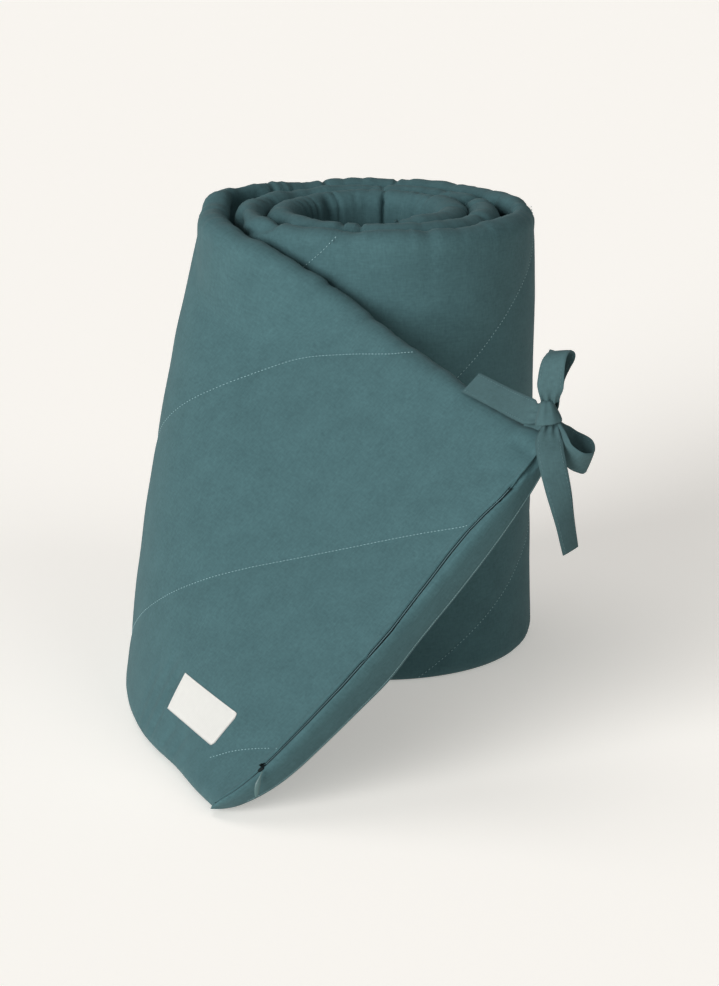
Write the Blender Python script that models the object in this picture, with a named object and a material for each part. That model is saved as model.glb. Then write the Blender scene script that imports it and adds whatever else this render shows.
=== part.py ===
"""Crib bumper: a long padded band, rolled up and stood on its long edge, with its outer end unrolled.

The band is cut flat as a rectangle. Here it is a spiral, seen from above, that leaves the roll at the
left of the back as a flap. The flap bends round like part of a cone, whose point is above the upper
edge, and then lies flat, leaning back towards the roll with its lower edge on the floor. A concealed
zip closes the free end, a woven label is sewn on the flap, and two ribbon ties are tied in a bow at the
flap's upper corner.
"""

import math
from typing import NamedTuple

import bmesh
import bpy
import numpy as np

# Driving dimensions, in metres and degrees.

BAND_HEIGHT = 0.300  # the band's width, which stands upright
BAND_THICKNESS = 0.0204
PRESSED = 0.0014  # how far the soft lower edge is pressed flat by the floor

ROLL_PITCH = 0.0228  # from one turn of the roll to the next
ROLL_SWEEP = 938.0  # how far the band winds round
LEAVING_RADIUS = 0.1046  # the roll's middle radius where the flap leaves it
LEAVING_ANGLE = 142.1  # anticlockwise from the right, seen from above
ROLL_AXIS = (0.0184, 0.1157, 0.0)  # the roll's axis, from the middle of the whole

FLAP_LENGTH = 0.4407
CONE_POINT_ALONG = 0.0242  # from where the flap leaves the roll
CONE_POINT_HEIGHT = 0.3266
CONE_BEND = 1.7096  # turn of the cloth for each unit turn of the lines through the point
BEND_STARTS = 3.8
BEND_ENDS = 55.4
BULGE = 0.0072  # how far the padding stands out along the bend
BULGE_REACH = 0.120
UPPER_DROP_SHARE = 0.5548  # how much of the bend's dip the upper edge keeps
CORNER_LIFT = 0.004  # how far the bow holds the upper corner up
CORNER_LIFT_REACH = 0.040
CORNER_ROUND = (0.0260, 0.0085)  # how far the lower and upper corners of the free end are drawn back
CORNER_ROUND_RISE = (0.022, 0.050)  # how far up and down the free end that reaches
CORNER_ROUND_REACH = 0.080  # how far along the flap that reaches
CORNER_KICK = 0.0080  # how far the lower corner is pushed outward along the floor
CORNER_KICK_RISE = 0.020
CORNER_KICK_REACH = 0.028
CLEARING_FROM = 0.030  # how far along the flap it is in full force outside the roll
CLEARING_SOFTNESS = 0.005
CLEARING_LIFT = 0.45  # how much the cloth rises for each unit that it is moved out
END_ROUNDING = 0.0060  # length of the free end that rounds over, behind its front edge
END_SQUARENESS = 3.0
END_SWELL = 0.18  # share of thickness gained at the back, near the free end
END_SWELL_REACH = 0.060
CORNER_THINNING = (0.72, 0.44)  # share of the thickness lost at the free end's lower and upper corners
CORNER_THINNING_RISE = (0.032, 0.060)
CORNER_THINNING_REACH = 0.030

ZIP_FROM_END = 0.0042
ZIP_LOW = 0.041
ZIP_HIGH = 0.286
ZIP_WIDTH = 0.0032
ZIP_THICKNESS = 0.0012
SLIDER_SIZE = (0.0050, 0.0080, 0.0030)  # across the zip, along it, and off the cloth
PULLER_LENGTH = 0.0170
PULLER_WIDTH = 0.0055
PULLER_THICKNESS = 0.0012
PULLER_DROP = (0.42, -0.86, -0.28)  # along the band, up the zip and off the cloth
PULLER_TOP = (0.0029, 0.0002, 0.0024)  # past and above the slider's middle, and off the cloth

LABEL_FROM_END = (0.0592, 0.1282)
LABEL_HEIGHTS = (0.0305, 0.0560)
LABEL_THICKNESS = 0.0010

RIBBON_WIDTH = 0.0160
RIBBON_THICKNESS = 0.0012
KNOT_CENTRE = (0.0990, -0.2850, 0.2320)  # from the roll's axis
KNOT_HALF_SIZE = (0.0066, 0.0050, 0.0056)

SEAT_GAP = 0.0003
EDGE_STEPS = 6
FACE_STEPS = 9
FACE_CROWDING = 1.4  # sections lie closer together near the lower edge
ROLL_STATIONS = 92
FLAP_STATIONS = 34
END_TURNS = (18.0, 40.0, 64.0)  # stations round the band's rounded ends
TEAL = (0.085, 0.165, 0.172, 1.0)
RIBBON_TEAL = (0.095, 0.185, 0.190, 1.0)
ZIP_TEAL = (0.040, 0.085, 0.090, 1.0)
PULLER_TEAL = (0.200, 0.330, 0.330, 1.0)
LABEL_WHITE = (0.850, 0.840, 0.800, 1.0)


class RibbonPlace(NamedTuple):
    """One place along a ribbon: its middle, in mm from the knot, and the way its width points."""

    right: float
    up: float
    toward: float
    width_right: float
    width_up: float
    width_toward: float


# The left tail lies along the flap's upper edge, the ribbon passes behind the knot, and then it makes
# the upper loop, whose front half ends at the knot.
UPPER_TIE = (
    RibbonPlace(-42.5, 2.0, -65, 0.44, 0.53, -0.72),
    RibbonPlace(-24.7, -1.5, -39, 0.46, 0.62, -0.63),
    RibbonPlace(-15.0, -1.0, -20, 0.48, 0.75, -0.45),
    RibbonPlace(-8.5, -0.5, -9.5, 0.40, 0.90, -0.15),
    RibbonPlace(-1.0, 2.0, -6.0, -0.30, 0.95, 0.0),
    RibbonPlace(2.0, 9.0, -8.5, -0.70, 0.25, 0.60),
    RibbonPlace(5.0, 18, -12, -0.65, 0.05, 0.75),
    RibbonPlace(7.0, 28, -13, -0.85, 0.0, 0.50),
    RibbonPlace(6.0, 34.8, -8, -1.0, 0.0, 0.10),
    RibbonPlace(3.0, 34.8, 1, -1.0, 0.0, 0.0),
    RibbonPlace(-1.0, 28, 7, -1.0, 0.0, 0.0),
    RibbonPlace(-2.0, 17, 6.5, -1.0, 0.0, 0.05),
    RibbonPlace(-1.0, 7.2, 2, -0.95, 0.0, 0.10),
)

# The hanging tail comes down from the knot in front of the flap's corner.
HANGING_TAIL = (
    RibbonPlace(11.0, -74.5, 25.0, 0.56, 0.18, -0.81),
    RibbonPlace(7.0, -54.5, 24.5, 0.75, 0.12, -0.65),
    RibbonPlace(2.5, -35.5, 22.5, 0.95, 0.05, -0.30),
    RibbonPlace(-1.0, -20.5, 18.0, 1.0, 0.0, 0.0),
    RibbonPlace(-1.8, -12.5, 11.0, 1.0, 0.0, 0.0),
    RibbonPlace(-0.8, -5.4, 5.0, 1.0, 0.0, 0.0),
)

# The right loop leaves the knot at its right, folds over in front and comes back to it.
RIGHT_LOOP = (
    RibbonPlace(7.4, -2.6, -3.2, 0.08, 0.86, -0.50),
    RibbonPlace(13.4, -13.0, -7.0, 0.30, 0.75, -0.55),
    RibbonPlace(19, -21, -8, 0.30, 0.95, -0.10),
    RibbonPlace(23.5, -25.5, -4, 0.30, 0.95, 0.0),
    RibbonPlace(24.0, -27.5, 3.0, 0.30, 0.95, 0.0),
    RibbonPlace(19.5, -27.0, 8.5, 0.30, 0.90, 0.10),
    RibbonPlace(13.9, -19.0, 10.0, 0.35, 0.80, 0.40),
    RibbonPlace(9.9, -7.5, 5.2, 0.05, 0.80, 0.55),
)


def clear_scene() -> None:
    """Remove every object that the scene holds."""
    for obj in list(bpy.data.objects):
        bpy.data.objects.remove(obj, do_unlink=True)


def material(name: str, colour: tuple, roughness: float, metallic: float = 0.0) -> bpy.types.Material:
    """A Principled material."""
    made = bpy.data.materials.new(name)
    made.use_nodes = True
    shader = made.node_tree.nodes["Principled BSDF"]
    shader.inputs["Base Color"].default_value = colour
    shader.inputs["Roughness"].default_value = roughness
    shader.inputs["Metallic"].default_value = metallic
    return made


def mesh_object(name: str, points, faces, finish, root) -> bpy.types.Object:
    """An object of the given points and faces, smooth except at its sharp edges."""
    mesh = bpy.data.meshes.new(name)
    mesh.from_pydata([tuple(point) for point in points], [], faces)
    shell = bmesh.new()
    shell.from_mesh(mesh)
    bmesh.ops.recalc_face_normals(shell, faces=shell.faces)
    shell.to_mesh(mesh)
    shell.free()
    mesh.materials.append(finish)
    mesh.shade_smooth()
    mesh.set_sharp_from_angle(angle=math.radians(40))
    mesh.update()
    obj = bpy.data.objects.new(name, mesh)
    bpy.context.scene.collection.objects.link(obj)
    obj.parent = root
    return obj


def unit(vector: np.ndarray) -> np.ndarray:
    """The vector at length one."""
    return vector / np.linalg.norm(vector)


def turned(vector: np.ndarray, axis: np.ndarray, angle: float) -> np.ndarray:
    """The vector turned about a unit axis."""
    along = axis * vector.dot(axis)
    return along + (vector - along) * math.cos(angle) + np.cross(axis, vector) * math.sin(angle)


# The band's middle surface. A place on it is given by "along", the distance from where the flap leaves
# the roll, positive on the flap, and by the height above the lower edge.


def roll_surface(along: float, height: float) -> tuple[np.ndarray, np.ndarray]:
    """A point of the rolled part and the way that its outer face looks."""
    shrink = ROLL_PITCH / (2 * math.pi)
    wound = (LEAVING_RADIUS - math.sqrt(LEAVING_RADIUS**2 + 2 * shrink * along)) / shrink
    radius = LEAVING_RADIUS - shrink * wound
    angle = math.radians(LEAVING_ANGLE) - wound
    outward = np.array([math.cos(angle), math.sin(angle), 0.0])
    return outward * radius + np.array([0.0, 0.0, height]), outward


def cone_surface(along: float, height: float) -> tuple[np.ndarray, np.ndarray]:
    """A point of the flap as it bends round its cone and then lies flat, before the floor lifts it."""
    leaving = math.radians(LEAVING_ANGLE)
    outward = np.array([math.cos(leaving), math.sin(leaving), 0.0])
    onward = np.array([-math.sin(leaving), math.cos(leaving), 0.0])
    upward = np.array([0.0, 0.0, 1.0])
    point = outward * LEAVING_RADIUS + onward * CONE_POINT_ALONG + upward * CONE_POINT_HEIGHT

    line_along = along - CONE_POINT_ALONG
    line_down = CONE_POINT_HEIGHT - height
    line_angle = math.atan2(line_along, line_down)
    starts = math.radians(BEND_STARTS)
    ends = math.radians(BEND_ENDS)

    before = min(line_angle, starts)
    line = -upward * math.cos(before) + onward * math.sin(before)
    if line_angle > starts:
        spin = outward - CONE_BEND * line
        bent = np.linalg.norm(spin) * (min(line_angle, ends) - starts)
        line = turned(line, unit(spin), bent)
        outward = turned(outward, unit(spin), bent)
    if line_angle > ends:
        line = turned(line, outward, line_angle - ends)
    return point + line * math.hypot(line_along, line_down), outward


def corner_drawn_back(along: float, height: float) -> float:
    """How far a place near a corner of the free end is drawn back along the band."""
    near_end = max(0.0, 1 - (FLAP_LENGTH - along) / CORNER_ROUND_REACH)
    drawn = 0.0
    for most, rise, away in zip(CORNER_ROUND, CORNER_ROUND_RISE, (height, BAND_HEIGHT - height)):
        drawn += most * math.exp(-max(away, 0.0) / rise)
    return drawn * near_end**2


def band_surface(along: float, height: float) -> tuple[np.ndarray, np.ndarray]:
    """A point of the band's middle surface and the way that its outer face looks."""
    half = BAND_THICKNESS / 2
    along -= corner_drawn_back(along, height)
    if along < 0:
        place, outward = roll_surface(along, height)
    else:
        place, outward = cone_surface(along, height)
        dip = cone_surface(along, half)[0][2] - half
        place[2] -= dip * (1 - UPPER_DROP_SHARE * height / BAND_HEIGHT)
        from_end = FLAP_LENGTH - along
        near_corner = math.exp(-((from_end / CORNER_LIFT_REACH) ** 2))
        place[2] += CORNER_LIFT * near_corner * (height / BAND_HEIGHT) ** 4
    middle_line = math.tan(math.radians((BEND_STARTS + BEND_ENDS) / 2))
    ridge = CONE_POINT_ALONG + (CONE_POINT_HEIGHT - height) * middle_line
    beside = math.exp(-(((along - ridge) / BULGE_REACH) ** 2))
    place = place + outward * BULGE * beside * math.sin(math.pi * height / BAND_HEIGHT)
    if along > 0:
        level = unit(np.array([outward[0], outward[1], 0.0]))
        near_low_corner = math.exp(-max(height, 0.0) / CORNER_KICK_RISE - from_end / CORNER_KICK_REACH)
        place = place + level * CORNER_KICK * near_low_corner
        place, outward = clear_of_roll(along, height, place, outward)
    return place, outward


def clear_of_roll(along, height, place, outward) -> tuple[np.ndarray, np.ndarray]:
    """A point of the flap moved to outside the roll's outer turn, and raised as it moves out."""
    away = math.hypot(place[0], place[1])
    turn = (math.atan2(place[1], place[0]) - math.radians(LEAVING_ANGLE)) % (2 * math.pi)
    if turn > math.radians(300):
        turn = 0.0
    lack = LEAVING_RADIUS + ROLL_PITCH * turn / (2 * math.pi) - away
    soft = math.hypot(lack, CLEARING_SOFTNESS)
    begun = min(along / CLEARING_FROM, 1.0)
    reached = begun**2 * (3 - 2 * begun)
    radial = np.array([place[0], place[1], 0.0]) / away
    short = (lack + soft) / 2 * reached
    share = (1 + lack / soft) / 2 * reached
    moved = place + radial * short
    moved[2] = min(moved[2] + CLEARING_LIFT * short, max(place[2], height))
    return moved, unit(outward * (1 - share) + radial * share)


def free_end_fullness(along: float, height: float) -> float:
    """How full the padding is behind the flap's face, from none at the free end's seam."""
    from_end = FLAP_LENGTH - along
    short_of = 1 - min(from_end / END_ROUNDING, 1.0)
    swell = END_SWELL * math.exp(-((from_end / END_SWELL_REACH) ** 2))
    rounding = (1 - short_of**END_SQUARENESS) ** (1 / END_SQUARENESS)
    near_end = math.exp(-from_end / CORNER_THINNING_REACH)
    lost = 0.0
    for share, rise, away in zip(CORNER_THINNING, CORNER_THINNING_RISE, (height, BAND_HEIGHT - height)):
        lost += share * near_end * math.exp(-max(away, 0.0) / rise)
    return rounding * (1 + swell) * (1 - lost)


def inner_end_fullness(along: float) -> float:
    """How full the padding is near the inner end, from none at its tip to one."""
    half = BAND_THICKNESS / 2
    from_tip = min(along + roll_length(), half)
    return math.sqrt(1 - (1 - from_tip / half) ** 2)


def band_place(along: float, height: float, depth: float) -> np.ndarray:
    """A point of the band at a depth from its middle surface, with the floor at no height."""
    place, outward = band_surface(along, height)
    full = free_end_fullness(along, height)
    leaning = BAND_THICKNESS / 2 * (1 - full)
    place = place + outward * (depth * full * inner_end_fullness(along) + leaning)
    place[2] = max(place[2] - PRESSED, 0.0)
    return place


def on_front(from_end: float, height: float, off: float) -> np.ndarray:
    """A point in front of the flap's outer face."""
    return band_place(FLAP_LENGTH - from_end, height, BAND_THICKNESS / 2 + off)


def band_profile() -> list[tuple[float, float]]:
    """Heights and depths round the band's section, a strip with round edges."""
    half = BAND_THICKNESS / 2
    tall = BAND_HEIGHT + PRESSED
    lower = [math.pi * (1 + step / EDGE_STEPS) for step in range(EDGE_STEPS + 1)]
    profile = [(half + half * math.sin(turn), half * math.cos(turn)) for turn in lower]
    rises = [(step / FACE_STEPS) ** FACE_CROWDING * (tall - 2 * half) for step in range(1, FACE_STEPS)]
    profile += [(half + rise, half) for rise in rises]
    profile += [(tall - height, -depth) for height, depth in profile[: EDGE_STEPS + 1]]
    profile += [(half + rise, -half) for rise in reversed(rises)]
    return profile


def roll_length() -> float:
    """The length of band that is wound on the roll."""
    sweep = math.radians(ROLL_SWEEP)
    return LEAVING_RADIUS * sweep - ROLL_PITCH / (4 * math.pi) * sweep**2


def band_stations() -> list[float]:
    """Places along the band, from its inner end to its free end."""
    half = BAND_THICKNESS / 2
    start = -roll_length()
    rounds = [1 - math.cos(math.radians(turn)) for turn in END_TURNS]
    stations = [start + half * part for part in rounds]
    sweep = math.radians(ROLL_SWEEP)
    shrink = ROLL_PITCH / (2 * math.pi)
    for step in range(ROLL_STATIONS):
        wound = sweep * (1 - step / ROLL_STATIONS)
        along = shrink / 2 * wound**2 - LEAVING_RADIUS * wound
        if along > start + half * 1.2:
            stations.append(along)
    flat_end = FLAP_LENGTH - END_ROUNDING
    stations += [flat_end * step / FLAP_STATIONS for step in range(FLAP_STATIONS + 1)]
    stations += [FLAP_LENGTH - END_ROUNDING * part for part in reversed(rounds)]
    return stations


def padded_band(finish, root) -> bpy.types.Object:
    """The whole band as one solid: its section, carried along the spiral and the flap."""
    profile = band_profile()
    points = []
    for along in band_stations():
        for height, depth in profile:
            points.append(band_place(along, height, depth))
    return mesh_object("padded_band", points, tube_faces(len(points), len(profile)), finish, root)


def tube_faces(count: int, around: int) -> list[tuple]:
    """Faces of a tube of equal rings, whose ends are closed across from side to side."""
    faces = []
    for first in range(0, count - around, around):
        for step in range(around):
            after = (step + 1) % around
            faces.append((first + step, first + after, first + around + after, first + around + step))
    last = count - around
    lowest = EDGE_STEPS // 2
    for step in range(around // 2):
        outer, outer_next = (lowest + step) % around, (lowest + step + 1) % around
        inner, inner_next = (lowest - step) % around, (lowest - step - 1) % around
        cap = list(dict.fromkeys((outer, outer_next, inner_next, inner)))
        faces.append(tuple(reversed(cap)))
        faces.append(tuple(last + corner for corner in cap))
    return faces


def sheet_faces(rows: int, columns: int) -> list[tuple]:
    """Faces of a closed thin plate whose outer points are listed row by row, and then its inner ones."""
    faces = []
    under = rows * columns

    def at(row: int, column: int) -> int:
        return row * columns + column

    for row in range(rows - 1):
        for column in range(columns - 1):
            quad = (at(row, column), at(row + 1, column), at(row + 1, column + 1), at(row, column + 1))
            faces.append(quad)
            faces.append(tuple(under + corner for corner in reversed(quad)))
    border = [at(row, 0) for row in range(rows)]
    border += [at(rows - 1, column) for column in range(1, columns)]
    border += [at(row, columns - 1) for row in range(rows - 2, -1, -1)]
    border += [at(0, column) for column in range(columns - 2, 0, -1)]
    for here, after in zip(border, border[1:] + border[:1]):
        faces.append((after, here, under + here, under + after))
    return faces


def plate_on_flap(name, from_ends, heights, thickness, finish, root) -> bpy.types.Object:
    """A thin plate that follows the flap's outer face, a little off it."""
    points = []
    for off in (SEAT_GAP + thickness, SEAT_GAP):
        points += [on_front(from_end, height, off) for from_end in from_ends for height in heights]
    faces = sheet_faces(len(from_ends), len(heights))
    return mesh_object(name, points, faces, finish, root)


def woven_label(finish, root) -> bpy.types.Object:
    """The label, sewn on near the flap's lower corner."""
    from_ends = np.linspace(*reversed(LABEL_FROM_END), 13)
    heights = np.linspace(*reversed(LABEL_HEIGHTS), 4)
    return plate_on_flap("woven_label", from_ends, heights, LABEL_THICKNESS, finish, root)


def zip_coil(finish, root) -> bpy.types.Object:
    """The closed zip, in the seam of the free end, above its slider."""
    from_ends = (ZIP_FROM_END + ZIP_WIDTH / 2, ZIP_FROM_END - ZIP_WIDTH / 2)
    heights = np.linspace(ZIP_HIGH, ZIP_LOW, 30)
    return plate_on_flap("zip_coil", from_ends, heights, ZIP_THICKNESS, finish, root)


def slider_frame() -> tuple[np.ndarray, np.ndarray, np.ndarray, np.ndarray]:
    """The slider's foot on the cloth, and the ways along the band, up the zip and off the cloth."""
    across, along, _ = SLIDER_SIZE
    foot_height = ZIP_LOW - SEAT_GAP - along / 2
    foot = on_front(ZIP_FROM_END, foot_height, SEAT_GAP)
    up = unit(on_front(ZIP_FROM_END, foot_height + along / 2, SEAT_GAP) - foot)
    onward = unit(on_front(ZIP_FROM_END - across / 2, foot_height, SEAT_GAP) - foot)
    off = unit(np.cross(onward, up))
    return foot, onward, up, off


def rounded_plate(name, outline, depth_way, depth, finish, root) -> bpy.types.Object:
    """A plate of constant thickness with the given outline."""
    count = len(outline)
    points = [point + depth_way * depth for point in outline] + list(outline)
    faces = [tuple(range(count)), tuple(reversed(range(count, 2 * count)))]
    faces += [((step + 1) % count, step, count + step, count + (step + 1) % count) for step in range(count)]
    return mesh_object(name, points, faces, finish, root)


def zip_slider(finish, root) -> bpy.types.Object:
    """The slider, with an oval outline, at the lower end of the zip."""
    foot, onward, up, off = slider_frame()
    across, along, tall = SLIDER_SIZE
    outline = []
    for step in range(16):
        turn = 2 * math.pi * step / 16
        outline.append(foot + onward * across / 2 * math.cos(turn) + up * along / 2 * math.sin(turn))
    return rounded_plate("zip_slider", outline, off, tall, finish, root)


def zip_puller(finish, root) -> bpy.types.Object:
    """The puller, a thin drop shape that hangs from the slider."""
    foot, onward, up, off = slider_frame()
    past, above, clear = PULLER_TOP
    top = foot + onward * past + up * above + off * clear
    down = unit(sum(part * way for part, way in zip(PULLER_DROP, (onward, up, off))))
    outward = onward + off
    face = unit(outward - down * outward.dot(down))
    side = np.cross(face, down)
    outline = []
    for step in range(20):
        turn = 2 * math.pi * step / 20
        fall = (1 - math.cos(turn)) / 2
        swell = math.sin(turn) * (0.45 + 0.55 * fall)
        outline.append(top + down * PULLER_LENGTH * fall + side * PULLER_WIDTH / 2 * swell)
    return rounded_plate("zip_puller", outline, face, PULLER_THICKNESS, finish, root)


def smooth_run(rows, samples: int) -> np.ndarray:
    """Places between the given rows, on a curve through all of them."""
    table = np.array(rows, float)
    table = np.vstack([2 * table[0] - table[1], table, 2 * table[-1] - table[-2]])
    made = []
    for first in range(1, len(table) - 2):
        before, here, after, beyond = table[first - 1 : first + 3]
        for step in range(samples):
            share = step / samples
            made.append(
                0.5
                * (
                    2 * here
                    + (after - before) * share
                    + (2 * before - 5 * here + 4 * after - beyond) * share**2
                    + (3 * here - before - 3 * after + beyond) * share**3
                )
            )
    made.append(table[-2])
    return np.array(made)


def ribbon(name, rows, finish, root) -> bpy.types.Object:
    """A ribbon of even width that follows the given rows."""
    run = smooth_run(rows, 3)
    middles = run[:, :3] * 0.001
    widths = run[:, 3:]
    ways = np.gradient(middles, axis=0)
    upper, lower = [], []
    for middle, width, way in zip(middles, widths, ways):
        way = unit(way)
        width = unit(width - way * width.dot(way))
        face = np.cross(way, width)
        for side in (-0.5, 0.5):
            edge = middle + width * RIBBON_WIDTH * side
            upper.append(knot_place(edge + face * RIBBON_THICKNESS / 2))
            lower.append(knot_place(edge - face * RIBBON_THICKNESS / 2))
    return mesh_object(name, upper + lower, sheet_faces(len(middles), 2), finish, root)


def knot_place(offset: np.ndarray) -> np.ndarray:
    """A point from its place right of, above and in front of the knot."""
    right, up, toward = offset
    return np.array(KNOT_CENTRE) + np.array([right, -toward, up])


def bow_knot(finish, root) -> bpy.types.Object:
    """The knot, a rounded block of wrapped ribbon."""
    rings, around, power = 9, 16, 0.55
    points = []
    for ring in range(1, rings):
        tilt = math.pi * (ring / rings - 0.5)
        for step in range(around):
            turn = 2 * math.pi * step / around
            direction = (
                math.cos(tilt) * math.cos(turn),
                math.cos(tilt) * math.sin(turn),
                math.sin(tilt),
            )
            squared = [math.copysign(abs(part) ** power, part) for part in direction]
            points.append(np.array(KNOT_CENTRE) + np.array(KNOT_HALF_SIZE) * np.array(squared))
    faces = [tuple(reversed(range(around)))]
    for first in range(0, len(points) - around, around):
        for step in range(around):
            after = (step + 1) % around
            faces.append((first + step, first + after, first + around + after, first + around + step))
    faces.append(tuple(range(len(points) - around, len(points))))
    return mesh_object("bow_knot", points, faces, finish, root)


def main() -> None:
    """Build every piece."""
    clear_scene()
    root = bpy.data.objects.new("roll_axis", None)
    root.location = ROLL_AXIS
    bpy.context.scene.collection.objects.link(root)

    cloth = material("teal_cotton", TEAL, 0.85)
    ribbon_cloth = material("ribbon_cotton", RIBBON_TEAL, 0.80)
    zip_nylon = material("zip_nylon", ZIP_TEAL, 0.55)
    enamel = material("puller_enamel", PULLER_TEAL, 0.35)
    label_weave = material("label_weave", LABEL_WHITE, 0.75)

    padded_band(cloth, root)
    zip_coil(zip_nylon, root)
    zip_slider(enamel, root)
    zip_puller(enamel, root)
    woven_label(label_weave, root)
    ribbon("tie_upper", UPPER_TIE, ribbon_cloth, root)
    ribbon("tie_hanging_tail", HANGING_TAIL, ribbon_cloth, root)
    ribbon("tie_right_loop", RIGHT_LOOP, ribbon_cloth, root)
    bow_knot(ribbon_cloth, root)


main()
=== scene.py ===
"""The looks of a rolled crib bumper: a quilted cotton band with its zip, label and tied ribbons.

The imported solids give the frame. Each piece here follows the same surfaces as its solid, with the cloth's
own detail on them: puckered rims, quilting, the zip's slit, hems, folds and weave.
"""

import logging
import math
from dataclasses import dataclass
from enum import Enum
from typing import NamedTuple, Sequence

import bpy
import numpy as np
from bpy.types import Material, Node, NodeSocket, NodeTree, Object
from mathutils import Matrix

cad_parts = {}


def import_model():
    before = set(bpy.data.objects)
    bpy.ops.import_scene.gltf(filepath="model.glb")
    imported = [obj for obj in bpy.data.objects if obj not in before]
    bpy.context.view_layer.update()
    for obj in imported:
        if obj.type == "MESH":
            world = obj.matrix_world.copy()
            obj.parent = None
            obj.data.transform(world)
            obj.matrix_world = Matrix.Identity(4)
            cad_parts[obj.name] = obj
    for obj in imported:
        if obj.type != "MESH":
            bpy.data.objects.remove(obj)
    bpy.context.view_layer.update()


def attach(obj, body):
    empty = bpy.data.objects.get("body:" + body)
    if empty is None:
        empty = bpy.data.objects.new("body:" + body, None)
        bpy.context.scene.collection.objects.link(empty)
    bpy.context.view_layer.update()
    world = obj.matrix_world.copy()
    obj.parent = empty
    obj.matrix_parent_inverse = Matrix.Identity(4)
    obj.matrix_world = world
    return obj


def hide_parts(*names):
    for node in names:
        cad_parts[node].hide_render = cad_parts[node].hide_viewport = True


Array = np.ndarray
Faces = list[tuple[int, ...]]
Pair = tuple[float, float]
Triple = tuple[float, float, float]
MM = 0.001
logger = logging.getLogger("crib_bumper")


# ---------------------------------------------------------------------------------------------------
# Colours and finishes


def linear(hex_colour: str, kept: float = 1.0) -> tuple[float, float, float, float]:
    """Turn an sRGB hex colour to linear light.

    Args:
        hex_colour: six hex digits, such as "58767b".
        kept: how much of its light is kept.

    Returns:
        Red, green, blue and an alpha of one.
    """
    parts = [int(hex_colour[place : place + 2], 16) / 255 for place in (0, 2, 4)]
    lit = [part / 12.92 if part <= 0.04045 else ((part + 0.055) / 1.055) ** 2.4 for part in parts]
    return (lit[0] * kept, lit[1] * kept, lit[2] * kept, 1.0)


def set_inputs(tree: NodeTree, node: Node, inputs: dict) -> None:
    """Give a node's inputs their values and links.

    Args:
        tree: the node tree that it is in.
        node: the node.
        inputs: a value or a socket to link for each named or numbered input.
    """
    for name, value in inputs.items():
        if isinstance(value, NodeSocket):
            tree.links.new(value, node.inputs[name])
        else:
            node.inputs[name].default_value = value


def add_node(
    tree: NodeTree, kind: str, inputs: dict | None = None, out: str = "", **settings: object
) -> NodeSocket:
    """Add a node with its settings and its links.

    Args:
        tree: the node tree that takes it.
        kind: the node's type name, without its "ShaderNode".
        inputs: a value or a linked socket for each named or numbered input.
        out: which output is wanted, or none for the first in use.
        settings: the node's own properties.

    Returns:
        The wanted output of the new node.
    """
    node = tree.nodes.new("ShaderNode" + kind)
    for name, value in settings.items():
        setattr(node, name, value)
    set_inputs(tree, node, inputs or {})
    return node.outputs[out] if out else next(socket for socket in node.outputs if socket.enabled)


class Sum(Enum):
    """The sums that the finishes use."""

    TIMES = "MULTIPLY"
    TIMES_THEN_ADD = "MULTIPLY_ADD"
    COSINE = "COSINE"


@dataclass(frozen=True)
class Finish:
    """What the finishes share.

    Attributes:
        name: the material's name, for what it really is.
    """

    name: str

    def looks(self, tree: NodeTree) -> dict[str, object]:
        """Add the finish's nodes.

        Args:
            tree: the material's node tree.

        Returns:
            A value or a socket for each of the shader's inputs that the finish sets.
        """
        raise NotImplementedError

    def make(self) -> Material:
        """Build the material.

        Returns:
            The material.
        """
        made = bpy.data.materials.new(self.name)
        made.use_nodes = True
        tree = made.node_tree
        set_inputs(tree, tree.nodes["Principled BSDF"], self.looks(tree))
        return made

    def ribs(self, tree: NodeTree, place: NodeSocket, spacing_mm: float) -> NodeSocket:
        """Add waves along one direction of the cloth.

        Args:
            tree: the node tree that takes them.
            place: the distance along that direction, in metres.
            spacing_mm: distance from one wave to the next.

        Returns:
            Values from minus one to one.
        """
        turn = 2 * math.pi / (spacing_mm * MM)
        angle = add_node(tree, "Math", {0: place, 1: turn}, operation=Sum.TIMES.value)
        return add_node(tree, "Math", {0: angle}, operation=Sum.COSINE.value)

    def weighed(self, tree: NodeTree, parts: Sequence[tuple[NodeSocket, float]]) -> NodeSocket:
        """Add up parts, each times its weight.

        Args:
            tree: the node tree that takes the sums.
            parts: each part with its weight.

        Returns:
            The whole.
        """
        whole = 0.0
        for part, weight in parts:
            whole = add_node(tree, "Math", {0: part, 1: weight, 2: whole}, operation=Sum.TIMES_THEN_ADD.value)
        return whole


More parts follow.
